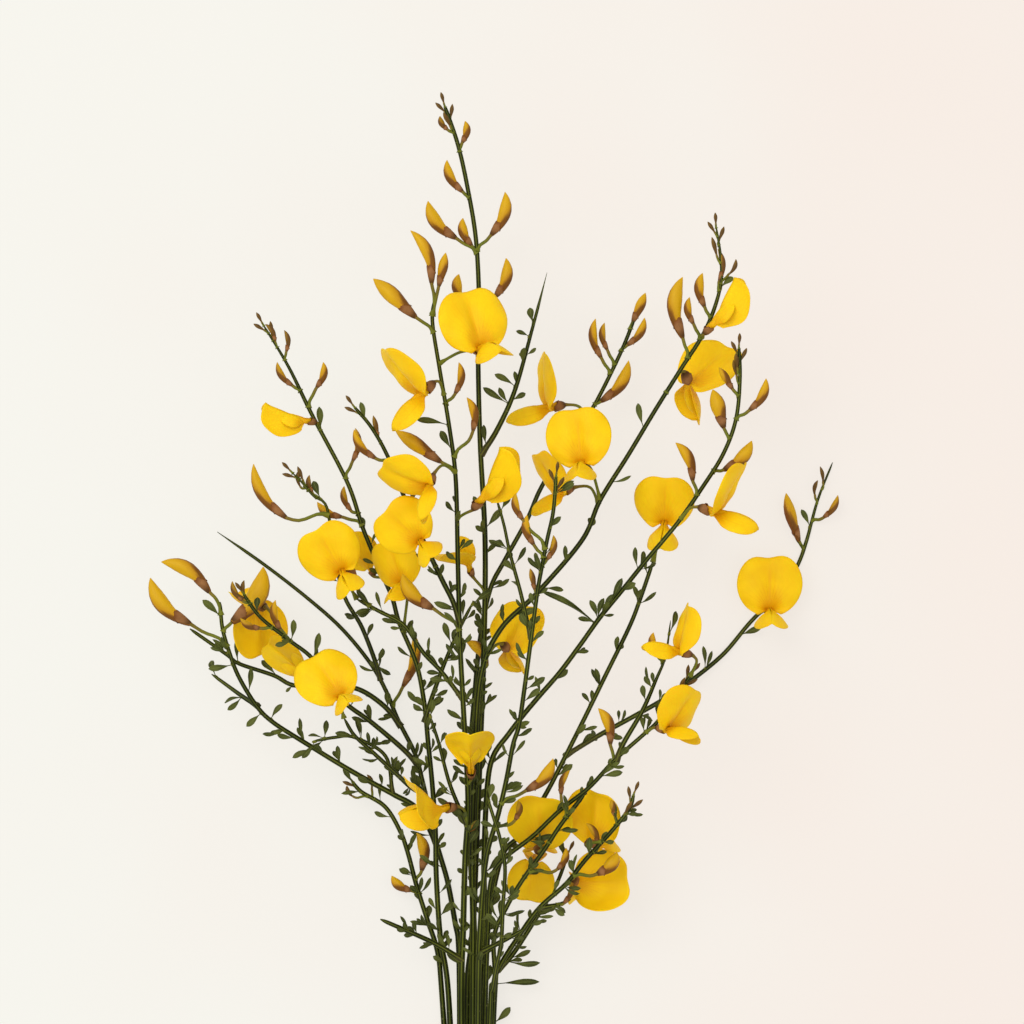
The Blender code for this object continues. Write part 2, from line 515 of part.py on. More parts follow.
def ring_faces(rings, sides):
    """The faces of a closed tube whose points go round ring by ring."""
    faces = []
    for ring in range(rings - 1):
        for index in range(sides):
            after = (index + 1) % sides
            faces.append((ring * sides + index, ring * sides + after,
                          (ring + 1) * sides + after, (ring + 1) * sides + index))
    faces.append(tuple(reversed(range(sides))))
    faces.append(tuple(range((rings - 1) * sides, rings * sides)))
    return faces


def blade_mesh(points, triangles, thickness):
    """A closed blade on both sides of an open sheet, with the same triangles on each side."""
    points = np.asarray(points, float)
    normals = np.zeros_like(points)
    for a, b, c in triangles:
        normal = np.cross(points[b] - points[a], points[c] - points[a])
        for corner in (a, b, c):
            normals[corner] += normal
    normals = np.array([unit(normal) for normal in normals])
    count = len(points)
    both = np.vstack([points + 0.5 * thickness * normals, points - 0.5 * thickness * normals])
    edges = {}
    for a, b, c in triangles:
        for edge in ((a, b), (b, c), (c, a)):
            edges[edge] = True
    faces = [tuple(face) for face in triangles]
    faces += [(a + count, c + count, b + count) for a, b, c in triangles]
    for a, b in edges:
        if (b, a) not in edges:
            faces.append((b, a, a + count))
            faces.append((b, a + count, b + count))
    return both, faces


def sheet_balls(points, triangles, radius, step):
    """Small balls spread over a sheet."""
    found = []
    for a, b, c in triangles:
        longest = max(np.linalg.norm(points[a] - points[b]), np.linalg.norm(points[b] - points[c]),
                      np.linalg.norm(points[c] - points[a]))
        parts = max(1, int(math.ceil(longest / step)))
        for first in range(parts + 1):
            for second in range(parts + 1 - first):
                u, v = first / parts, second / parts
                found.append((1 - u - v) * points[a] + u * points[b] + v * points[c])
    found = np.array(found)
    return np.column_stack([found, np.full(len(found), radius)])


def strip(first_row, second_row):
    """Triangles between two rows of point numbers that run the same way."""
    triangles = []
    i, j = 0, 0
    while i < len(first_row) - 1 or j < len(second_row) - 1:
        ahead_first = (i + 1) / max(1, len(first_row) - 1)
        ahead_second = (j + 1) / max(1, len(second_row) - 1)
        if j == len(second_row) - 1 or (i < len(first_row) - 1 and ahead_first < ahead_second):
            triangles.append((first_row[i], second_row[j], first_row[i + 1]))
            i += 1
        else:
            triangles.append((first_row[i], second_row[j], second_row[j + 1]))
            j += 1
    return triangles


def banner_sheet(rows, opening, fold):
    """The banner petal as (forward, up, side) points: a narrow claw, then a fan bent back and folded."""
    points = [(1.2, 0.1, -0.4), (1.2, 0.1, 0.4), (2.0, 1.8, -0.75), (2.0, 1.8, 0.75)]
    numbers = [range(0, 2), range(2, 4)]
    tilt = math.radians(opening - 90)
    for reach, count in rows:
        numbers.append(range(len(points), len(points) + count))
        for angle in np.linspace(-BANNER_SPREAD, BANNER_SPREAD, count):
            across = BANNER_CENTRE * math.sin(angle)
            edge = BANNER_CENTRE * math.cos(angle) + math.sqrt(BANNER_RADIUS ** 2 - across ** 2)
            edge -= BANNER_NOTCH * math.exp(-(angle / 0.25) ** 2)
            side = reach * edge * math.sin(angle)
            up = reach * edge * math.cos(angle)
            forward = 0.9 + 2.4 * (1 - math.exp(-reach * edge / 2.2)) - 0.012 * max(fold, 0) * side * side
            turn = min(FOLD_LIMIT, -min(fold, 0) * FOLD_TURN)
            folded = abs(side) * math.sin(turn)
            side *= math.cos(turn)
            ahead = forward - up * math.sin(tilt) + folded * math.cos(tilt)
            back = up * math.cos(tilt) + (0.3 * forward + folded) * math.sin(tilt)
            points.append((ahead, back + 0.3, side))
    triangles = []
    for first_row, second_row in zip(numbers, numbers[1:]):
        triangles += strip(first_row, second_row)
    return np.array(points), triangles


def wing_sheet(hand, droop, spread):
    """A wing petal as (forward, up, side) points, its lower edge further out. The hand is 1 or -1."""
    points = []
    sideways = hand * math.cos(droop) * math.sin(spread)
    along = np.array([math.cos(droop) * math.cos(spread), -math.sin(droop), sideways])
    across = unit(np.cross(along, (0, 0, 1.0)))
    outward = unit(np.cross(along, across)) * -hand
    if outward[2] * hand < 0:
        outward = -outward
    numbers = []
    across = math.cos(WING_TENT) * across + math.sin(WING_TENT) * hand * np.array([0, 0, 1.0])
    for share, wide in WING_PROFILE:
        width = WING_HALF_WIDTH * wide
        middle = np.array([2.6, -0.6, 0.25 * hand]) + along * WING_LENGTH * share
        middle = middle + outward * (WING_BELLY * math.sin(math.pi * share) + math.sin(WING_TENT) * width)
        numbers.append(range(len(points), len(points) + 2))
        points.append(middle - across * width)
        points.append(middle + across * width)
    triangles = []
    for first_row, second_row in zip(numbers, numbers[1:]):
        triangles += strip(first_row, second_row)
    return np.array(points), triangles


def keel_rings(steps, droop):
    """The keel's rings from the claw on: the middle as a (forward, up, side) point, the half height as a
    vector, and the half width."""
    along = np.array([math.cos(droop), -math.sin(droop), 0])
    lift = np.array([math.sin(droop), math.cos(droop), 0])
    straight = np.array([0.0, 1.0, 0.0])
    throat = np.array([CORE_LENGTH, 0.0, 0.0]) - 0.3 * lift
    rings = [(np.array([CLEARANCE, 0.0, 0.0]), CORE_RADIUS * straight, CORE_RADIUS),
             (throat, CORE_RADIUS * unit(lift + straight), 0.9 * CORE_RADIUS)]
    for share in steps:
        middle = throat + along * KEEL_LENGTH * share + lift * 2.4 * (share ** 2 - 0.6 * share)
        swell = math.sin(math.pi * (0.2 + 0.76 * share)) ** 0.8
        rings.append((middle, KEEL_HALF_HEIGHT * swell * lift, KEEL_HALF_WIDTH * swell))
    return rings


def keel_mesh(steps, droop, sides):
    rings = keel_rings(steps, droop)
    points = []
    for middle, tall, wide in rings:
        for index in range(sides):
            angle = 2 * math.pi * index / sides
            points.append(middle + math.sin(angle) * tall + wide * math.cos(angle) * np.array([0, 0, 1.0]))
    return np.array(points), ring_faces(len(rings), sides)


def flower_axes(out, up):
    out = unit(out)
    up = np.asarray(up, float)
    up = unit(up - out * up.dot(out))
    return np.array([out, up, np.cross(out, up)])


class Flower:
    """One open flower: where its calyx mouth is and which way it looks."""

    def __init__(self, row):
        (self.name, self.shoot, self.root_pixel, self.mouth_pixel, out, up, self.opening, self.size,
         self.lift, self.fold) = row
        self.out = np.array(out, float)
        self.up = up
        self.look(0.0)
        self.droop = math.radians(max(0, self.opening - 45) * 0.16)
        self.spread = WING_SPREAD
        self.mouth = None

    def look(self, lean):
        """Turns the flower its own way, or leaning up or down from it."""
        self.axes = flower_axes(self.out + np.array([0, 0, lean]), self.up)

    def place(self, local):
        return self.mouth + self.size * (np.asarray(local, float) @ self.axes)

    def sheets(self):
        banner = banner_sheet(BANNER_ROWS, self.opening, self.fold)
        if self.opening < WINGS_HIDDEN:
            return [banner]
        wings = [wing_sheet(hand, self.droop, self.spread) for hand in (-1, 1)]
        return [banner] + wings

    def balls(self):
        found = [sheet_balls(self.place(points), triangles, 0.45, 1.5) for points, triangles in self.sheets()]
        for middle, tall, _ in keel_rings(np.linspace(0.15, 1, 7), self.droop):
            found.append(np.append(self.place(middle), max(0.4, np.linalg.norm(tall)) * self.size)[None, :])
        return np.vstack(found)

    def foot(self):
        """The point where the stalk meets the calyx."""
        return self.place((-CALYX_LENGTH, 0, 0))


def stalk_points(root, tangent, foot, out, count):
    """A stalk that leaves the stem along it and bends into the calyx."""
    reach = np.linalg.norm(foot - root)
    first = root + 0.3 * reach * tangent
    second = foot - 0.35 * reach * out
    points = []
    for t in np.linspace(0, 1, count):
        back = 1 - t
        early = back ** 3 * root + 3 * t * back ** 2 * first
        points.append(early + 3 * t * t * back * second + t ** 3 * foot)
    return np.array(points)


def capsule(points, radii):
    """Balls along a line of points."""
    points = np.asarray(points, float)
    lengths = np.concatenate([[0], np.cumsum(np.linalg.norm(np.diff(points, axis=0), axis=1))])
    places = np.linspace(0, lengths[-1], max(2, int(lengths[-1] / 0.8) + 1))
    columns = np.column_stack([points, radii]).T
    return np.column_stack([np.interp(places, lengths, column) for column in columns])


def outward_tries(spread):
    """Offsets to try, nearest first: 0, +1, -1, +2, -2 and so on."""
    yield 0.0
    for step in range(1, spread + 1):
        yield float(step)
        yield float(-step)


def flower_tries(lift):
    """Height steps and leans to try: its own height and further from its shoot, then past the shoot."""
    way = -1.0 if lift < 0 else 1.0
    steps = [way * step for step in range(0, 15)] + [-way * step for step in range(1, 28)]
    for step in steps:
        for lean in FLOWER_LEANS:
            yield step, lean


def flower_stalk(flower, root, tangent):
    """The stalk as the few points that its mesh has too."""
    curve = stalk_points(root, tangent, flower.foot(), flower.axes[0], 6)
    return curve[[0, 3, 5]]


def stalk_balls(flower):
    """Balls along the stalk and calyx of one flower, without the stalk's root."""
    line = np.vstack([linked(flower.stalk, 0.8)[2:], flower.place((-0.8 * CALYX_LENGTH, 0, 0)), flower.mouth])
    wide = CALYX_RADIUS * flower.size
    return capsule(line, [0.6] * (len(line) - 2) + [0.8 * wide, wide])


def place_flowers(shoots, space):
    """Gives each flower the first height that is clear of the rest, and its stalk."""
    flowers = []
    for row in FLOWERS:
        flower = Flower(row)
        shoot = shoots[flower.shoot]
        share = shoot.nearest(on_table(flower.root_pixel))
        root = shoot.at(share)
        best = None
        for step, lean in flower_tries(flower.lift):
            flower.look(lean)
            height = root[2] + flower.lift + FLOWER_STEP * step
            flower.mouth = np.append(on_table(flower.mouth_pixel), height)
            room = space.room(flower.balls())
            if room >= CLEARANCE:
                flower.stalk = flower_stalk(flower, root, shoot.tangent(share))
                room = min(room, space.room(stalk_balls(flower), (shoot.node,)))
            if best is None or room > best[0]:
                best = (room, flower.mouth, lean)
            if room >= CLEARANCE:
                break
        flower.look(best[2])
        flower.mouth = best[1]
        flower.stalk = flower_stalk(flower, root, shoot.tangent(share))
        if best[0] < CLEARANCE:
            print("tight flower", flower.name, round(best[0], 2))
        space.add(flower.name, flower.balls())
        space.add(shoot.node, stalk_balls(flower))
        flowers.append(flower)
    return flowers


class Bud:
    """A closed bud on its stalk, curved towards its shoot."""

    def __init__(self, node, root, tangent, foot, tip, radius):
        self.node = node
        self.radius = radius
        self.foot = foot
        self.tip = tip
        axis = tip - foot
        length = np.linalg.norm(axis)
        self.stalk = stalk_points(root, tangent, foot, unit(axis), 4)
        inward = root - foot
        inward = inward - unit(axis) * inward.dot(unit(axis))
        self.bend = -unit(inward) * BUD_BEND * length if np.linalg.norm(inward) > 0.3 else np.zeros(3)

    def at(self, share):
        return self.foot + (self.tip - self.foot) * share + self.bend * 4 * share * (1 - share)

    def balls(self):
        centre = [self.at(share) for share, _ in BUD_PROFILE]
        sizes = [self.radius * size for _, size in BUD_PROFILE]
        return np.vstack([capsule(self.stalk[1:], [0.5] * 3), capsule(centre, sizes)])

    def mesh(self):
        shape = BUD_PROFILE if self.radius > LARGE_BUD else SMALL_BUD_PROFILE
        long_stalk = np.linalg.norm(self.foot - self.stalk[0]) > LONG_STALK
        stalk = [self.stalk[0], self.stalk[2]] if long_stalk else [self.stalk[0]]
        centre = stalk + [self.at(share) for share, _ in shape]
        sizes = [STALK_RADIUS] * len(stalk) + [max(0.3, self.radius * size) for _, size in shape]
        return tube_mesh(centre, sizes, STALK_SIDES if self.radius > SMALL_BUD else SMALL_BUD_SIDES)


def try_bud(space, shoot, share, foot_flat, tip_flat, radius):
    """The bud at the height nearest to its shoot's that is clear of every other node, or None."""
    root = shoot.at(share)
    for offset in outward_tries(16):
        foot = np.append(foot_flat, root[2] + 0.5 * offset)
        tip = np.append(tip_flat, root[2] + 0.9 * offset)
        bud = Bud(shoot.node, root, shoot.tangent(share), foot, tip, radius)
        if space.room(bud.balls(), (shoot.node,)) >= CLEARANCE:
            return bud
    return None


def place_buds(shoots, space):
    buds = []
    for name, foot_pixel, tip_pixel, radius in BUDS:
        shoot = shoots[name]
        foot = on_table(foot_pixel)
        tip = on_table(tip_pixel)
        near = shoot.nearest(foot)
        back = max(2.0, 0.9 * np.linalg.norm(foot - shoot.at(near)[:2])) / shoot.length
        bud = try_bud(space, shoot, max(0.02, near - back), foot, tip, radius)
        if bud is None:
            print("no room for a bud on", name, foot_pixel)
            continue
        space.add(shoot.node, bud.balls())
        buds.append(bud)
    for name, count in TIP_BUDS:
        shoot = shoots[name]
        for index in range(count):
            share = 1 - (0.6 + 2.6 * index) / shoot.length
            root = shoot.at(share)
            tangent = shoot.tangent(share)
            side = unit(np.cross(tangent, (0, 0, 1.0)))
            over = np.cross(side, tangent)
            turn = LEAF_TURN * (index + 0.4)
            lean = 0.06 if index == 0 else 0.55
            way = unit(tangent + lean * (math.cos(turn) * side + 0.6 * math.sin(turn) * over))
            foot = root + way * (0.9 + 0.25 * index)
            tip = foot + way * (3.4 + 0.45 * index)
            bud = Bud(shoot.node, root - 0.5 * tangent, tangent, foot, tip, 0.75 + 0.05 * index)
            if space.room(bud.balls(), (shoot.node,)) >= CLEARANCE:
                space.add(shoot.node, bud.balls())
                buds.append(bud)
    return buds


def leaflet_sheet(root, along, normal, length, width):
    """A kite, widest past the middle."""
    side = unit(np.cross(along, normal))
    normal = np.cross(side, along)
    middle = root + along * length * 0.64 + normal * length * 0.1
    points = [root, middle - side * 0.5 * width, middle + side * 0.5 * width,
              root + along * length]
    return np.array(points), [(0, 1, 2), (1, 3, 2)]


def place_leaves(shoots, space):
    """Leaflets at even steps, each at the first turn round its shoot that is clear of every other node."""
    random = np.random.default_rng(LEAF_SEED)
    leaves = []
    for name, first, last, count in LEAVES:
        shoot = shoots[name]
        turn = random.uniform(0, 2 * math.pi)
        for share in np.linspace(first, last, count):
            share = min(0.99, share + random.uniform(-0.25, 0.25) * (last - first) / count)
            length = LEAFLET_LENGTH * random.uniform(0.75, 1.25)
            width = LEAFLET_WIDTH * random.uniform(0.8, 1.1)
            lean = random.uniform(0.7, 1.15)
            turn += LEAF_TURN
            root = shoot.at(share)
            tangent = shoot.tangent(share)
            side = unit(np.cross(tangent, (0, 0, 1.0)))
            over = np.cross(side, tangent)
            for step in outward_tries(6):
                angle = turn + 0.5 * step
                away = math.cos(angle) * side + 0.55 * math.sin(angle) * over
                along = unit(tangent + lean * away)
                normal = unit(over + 0.4 * math.sin(3 * angle) * side)
                points, triangles = leaflet_sheet(root, along, normal, length, width)
                balls = sheet_balls(points, triangles, 0.45, 1.2)
                balls = balls[np.linalg.norm(balls[:, :3] - root, axis=1) > 1.5]
                if space.room(balls, (shoot.node,)) >= CLEARANCE:
                    space.add(shoot.node, balls)
                    leaves.append((shoot.node, points, triangles))
                    break
    return leaves


def facing_out(points, faces):
    """The same faces, all turned round if they point inwards."""
    points = np.asarray(points, float)
    volume = 0.0
    for face in faces:
        first = points[face[0]]
        for second, third in zip(face[1:], face[2:]):
            volume += first.dot(np.cross(points[second], points[third]))
    return faces if volume > 0 else [tuple(reversed(face)) for face in faces]


def new_object(name, points, faces):
    faces = facing_out(points, faces)
    mesh = bpy.data.meshes.new(name)
    mesh.from_pydata([tuple(float(value) * MM for value in point) for point in points], [], faces)
    mesh.update()
    made = bpy.data.objects.new(name, mesh)
    bpy.context.scene.collection.objects.link(made)
    return made


def body_sizes(mesh):
    """The vertex sets of a mesh's separate bodies, largest volume first."""
    parent = list(range(len(mesh.vertices)))

    def top(index):
        while parent[index] != index:
            parent[index] = parent[parent[index]]
            index = parent[index]
        return index

    for edge in mesh.edges:
        first, second = top(edge.vertices[0]), top(edge.vertices[1])
        if first != second:
            parent[first] = second
    volumes = {}
    mesh.calc_loop_triangles()
    for triangle in mesh.loop_triangles:
        a, b, c = (mesh.vertices[index].co for index in triangle.vertices)
        key = top(triangle.vertices[0])
        volumes[key] = volumes.get(key, 0) + a.dot(b.cross(c)) / 6
    ordered = sorted(volumes, key=volumes.get, reverse=True)
    return ordered, [top(index) for index in range(len(mesh.vertices))]


def fused(name, pieces, material):
    """One object from overlapping closed meshes by a Boolean union, without scraps or sealed hollows."""
    base = new_object(name, *pieces[0])
    group = bpy.data.collections.new(name + "_pieces")
    bpy.context.scene.collection.children.link(group)
    for number, (points, faces) in enumerate(pieces[1:]):
        piece = new_object(f"{name}_piece_{number}", points, faces)
        bpy.context.scene.collection.objects.unlink(piece)
        group.objects.link(piece)
    union = base.modifiers.new("union", "BOOLEAN")
    union.operation = "UNION"
    union.operand_type = "COLLECTION"
    union.collection = group
    union.solver = "MANIFOLD"
    graph = bpy.context.evaluated_depsgraph_get()
    mesh = bpy.data.meshes.new_from_object(base.evaluated_get(graph))
    base.modifiers.remove(union)
    for piece in list(group.objects):
        bpy.data.objects.remove(piece, do_unlink=True)
    bpy.data.collections.remove(group)
    ordered, owner = body_sizes(mesh)
    if len(ordered) > 1:
        kept = [index for index in range(len(owner)) if owner[index] == ordered[0]]
        place = {index: number for number, index in enumerate(kept)}
        points = [mesh.vertices[index].co / MM for index in kept]
        faces = [tuple(place[index] for index in face.vertices) for face in mesh.polygons
                 if owner[face.vertices[0]] == ordered[0]]
        print("dropped from", name, len(ordered) - 1, "scraps or hollows")
        spare = new_object("spare", points, faces)
        mesh = spare.data
        bpy.data.objects.remove(spare, do_unlink=True)
    base.data = mesh
    mesh.name = name
    mesh.shade_smooth()
    mesh.set_sharp_from_angle(angle=SHARP_EDGE)
    mesh.materials.clear()
    mesh.materials.append(material)
    return base


def new_material(name, colour, roughness):
    material = bpy.data.materials.new(name)
    material.use_nodes = True
    surface = material.node_tree.nodes["Principled BSDF"]
    surface.inputs["Base Color"].default_value = colour
    surface.inputs["Roughness"].default_value = roughness
    surface.inputs["Metallic"].default_value = 0.0
    material.diffuse_color = colour
    return material


def flower_pieces(flower):
    """The closed meshes of one flower: keel, banner and wings."""
    points, faces = keel_mesh(KEEL_ROWS, flower.droop, KEEL_SIDES)
    pieces = [(flower.place(points), faces)]
    for points, triangles in flower.sheets():
        pieces.append(blade_mesh(flower.place(points), triangles, PETAL_THICKNESS))
    return pieces


def calyx_mesh(flower):
    """The stalk and the bell-shaped calyx of one flower."""
    centre = list(flower.stalk)
    sizes = [STALK_RADIUS] * len(centre)
    for share, size in CALYX_PROFILE:
        centre.append(flower.place((share * CALYX_LENGTH, 0, 0)))
        sizes.append(CALYX_RADIUS * size * flower.size)
    return tube_mesh(centre, sizes, STALK_SIDES)


def main():
    shoots = all_shoots()
    space = Space()
    for shoot in shoots.values():
        space.add(shoot.node, np.column_stack([shoot.centre, shoot.radius]))
    flowers = place_flowers(shoots, space)
    buds = place_buds(shoots, space)
    leaves = place_leaves(shoots, space)
    print(len(flowers), "flowers", len(buds), "buds", len(leaves), "leaflets")

    main_names = {row[0] for row in MAIN_STEMS}
    for node in dict.fromkeys(row[1] for row in MAIN_STEMS):
        pieces = []
        for shoot in shoots.values():
            if shoot.node == node:
                is_main = shoot.name in main_names
                level = is_main or shoot.name == "far_right_branch"
                sides = STEM_SIDES if level else SHOOT_SIDES
                pieces.append(tube_mesh(shoot.rings[:, :3], shoot.rings[:, 3], sides, level=level))
        pieces += [calyx_mesh(flower) for flower in flowers if shoots[flower.shoot].node == node]
        pieces += [bud.mesh() for bud in buds if bud.node == node]
        pieces += [blade_mesh(points, triangles, LEAFLET_THICKNESS)
                   for owner, points, triangles in leaves if owner == node]
        fused(node, pieces, new_material(node + "_green", STEM_GREEN, STEM_ROUGHNESS))

    for flower in flowers:
        surface = new_material(flower.name + "_yellow", PETAL_YELLOW, PETAL_ROUGHNESS)
        fused(flower.name, flower_pieces(flower), surface)


main()
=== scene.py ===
# %% [markdown]
# # A cut bunch of flowering broom
# Broom is a shrub with thin green switches, tiny leaves and yellow pea flowers. This lesson
# dresses the plain solids of a cut bunch that lies on a table. First comes the layout, which
# repeats the rule that placed the solids, then the finishes. Stems, stalks, buds, calyces,
# leaflets, petals and cut ends follow, and last the table, the light and the camera. Each
# solid is replaced by finer pieces in its place.

# %% Load the solids
import math

import bpy
import numpy as np
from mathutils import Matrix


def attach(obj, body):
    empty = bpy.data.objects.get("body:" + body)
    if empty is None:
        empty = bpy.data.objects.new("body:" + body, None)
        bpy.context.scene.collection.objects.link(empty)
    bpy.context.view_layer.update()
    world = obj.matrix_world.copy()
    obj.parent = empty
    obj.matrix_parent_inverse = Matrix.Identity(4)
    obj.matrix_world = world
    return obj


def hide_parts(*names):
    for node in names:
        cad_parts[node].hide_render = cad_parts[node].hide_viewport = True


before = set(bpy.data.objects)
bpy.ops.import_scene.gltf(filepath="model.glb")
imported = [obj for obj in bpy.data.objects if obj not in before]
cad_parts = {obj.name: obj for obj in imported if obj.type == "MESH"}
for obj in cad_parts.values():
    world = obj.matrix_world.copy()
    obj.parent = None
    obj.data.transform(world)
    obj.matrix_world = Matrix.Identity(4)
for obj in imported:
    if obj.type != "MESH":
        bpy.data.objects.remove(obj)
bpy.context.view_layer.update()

# %% [markdown]
# ## The layout
# A real bunch has no plan, but a model needs one. Every stem is a route of points in the
# picture, at 0.3 mm for each pixel, and the point at the foot of the picture lies over the
# origin. Lengths here are in millimetres and become metres when a mesh is made. The tables
# hold the same places as those of the solids, so the pieces land on them without any fitting.

# %% Sizes
MM = 0.001

# Scale of the traced picture, and the picture point that stands over the origin
MM_PER_PIXEL = 0.3
FOOT_COLUMN = 470
FOOT_ROW = 1024

# Bundle of cut ends
CUT_END = -60.0
BUNDLE_TOP = 8.0
HELD_LENGTH = 20.0
HELD_PITCH = 2.5
ROW_PITCH = 3.2

# Width of a stem where the bundle opens, as a share of its width at the cut end
WAIST_SHARE = 0.74

STEM_SIDES = 5
FLAT_SHARE = math.cos(math.pi / STEM_SIDES)
ROUTE_TOLERANCE = 0.88
SAMPLE_STEP = 1.2

# Share of its length at which a branch that comes down to the table reaches it
TOUCHDOWN = 0.55

# Pieces that must not touch keep this much air between them
CLEARANCE = 0.35
TABLE_GAP = 0.3

# Flower, full size
BANNER_RADIUS = 9.9
BANNER_CENTRE = 8.0
BANNER_NOTCH = 1.3
BANNER_SPREAD = math.radians(110)
BANNER_CLAW = ((1.2, 0.1, -0.4), (1.2, 0.1, 0.4), (2.0, 1.8, -0.75), (2.0, 1.8, 0.75))
FAN_START = 0.9
FAN_AHEAD = 2.4
FAN_CURVE = 2.2
SIDES_BACK = 0.012
NOTCH_ANGLE = 0.25
WING_ROOT = (2.6, -0.6, 0.25)
WING_LENGTH = 13.0
WING_HALF_WIDTH = 3.2
WING_BELLY = 0.5
WING_TENT = math.radians(40)
WING_SPREAD = math.radians(1.5)
KEEL_LENGTH = 11.5
KEEL_HALF_HEIGHT = 2.0
KEEL_HALF_WIDTH = 1.1
KEEL_CURVE = 2.4
KEEL_DIP = 0.6
CORE_LENGTH = 2.2
CORE_RADIUS = 1.15
CALYX_LENGTH = 3.4
CALYX_RADIUS = 1.75
STALK_RADIUS = 0.45

# How straight a stalk leaves the stem and meets the calyx, as shares of its reach
STALK_LEAVES = 0.3
STALK_MEETS = 0.35

# Opening up to which the banner hides the wings, and how much of the rest the wings and keel droop
WINGS_HIDDEN = 45
DROOP_SHARE = 0.16

# Turn of the banner's sides round its crease, for each unit of fold, and the largest turn
FOLD_TURN = math.radians(22)
FOLD_LIMIT = math.radians(80)

# Rows of the solid banner, as a share of the way to its edge and how many points, and the solid
# wing, as shares of its length and width. The search for free places uses them.
BANNER_ROWS = ((0.55, 5), (1.0, 9))
WING_PROFILE = ((0.0, 0.25), (0.48, 1.0), (0.97, 0.6))

# What is tried to place a flower clear of the rest: steps of height, and how far it leans up or down
FLOWER_STEP = 0.75
FLOWER_STEPS_AWAY = 15
FLOWER_STEPS_BACK = 28
FLOWER_LEANS = (0.0, -0.25, 0.25, -0.5)

# Bud, as shares of its length and of its radius, from the stalk's end to the tip
BUD_PROFILE = ((0.0, 0.45), (0.27, 0.95), (0.72, 0.86), (1.0, 0.14))
BUD_BEND = 0.13

# What is tried to place a bud: how many steps up and down, and how far one step moves its foot and tip
BUD_TRIES = 16
BUD_FOOT_STEP = 0.5
BUD_TIP_STEP = 0.9

# Small buds at a tip: how far the first one sits behind the tip and each one more behind it, how far
# the first and the others lean out, and the length of the stalk, the length of the bud and its
# radius, each with what it grows from bud to bud
TIP_BUD_BACK = 0.6
TIP_BUD_PITCH = 2.6
TIP_BUD_LEANS = (0.06, 0.55)
TIP_BUD_LIFT = 0.6
TIP_BUD_STALK = (0.9, 0.25)
TIP_BUD_LENGTH = (3.4, 0.45)
TIP_BUD_RADIUS = (0.75, 0.05)

# Leaflet, full size, and how much its length, width and lean vary
LEAFLET_LENGTH = 6.0
LEAFLET_WIDTH = 2.3
LEAFLET_LENGTHS = (0.75, 1.25)
LEAFLET_WIDTHS = (0.8, 1.1)
LEAFLET_LEANS = (0.7, 1.15)
LEAFLET_LIFT = 0.55
LEAFLET_ROLL = 0.4
LEAFLET_TRIES = 6
LEAFLET_TRY_TURN = 0.5
LEAF_TURN = math.radians(137.5)
LEAF_SEED = 11
print("one pixel is", MM_PER_PIXEL, "mm")

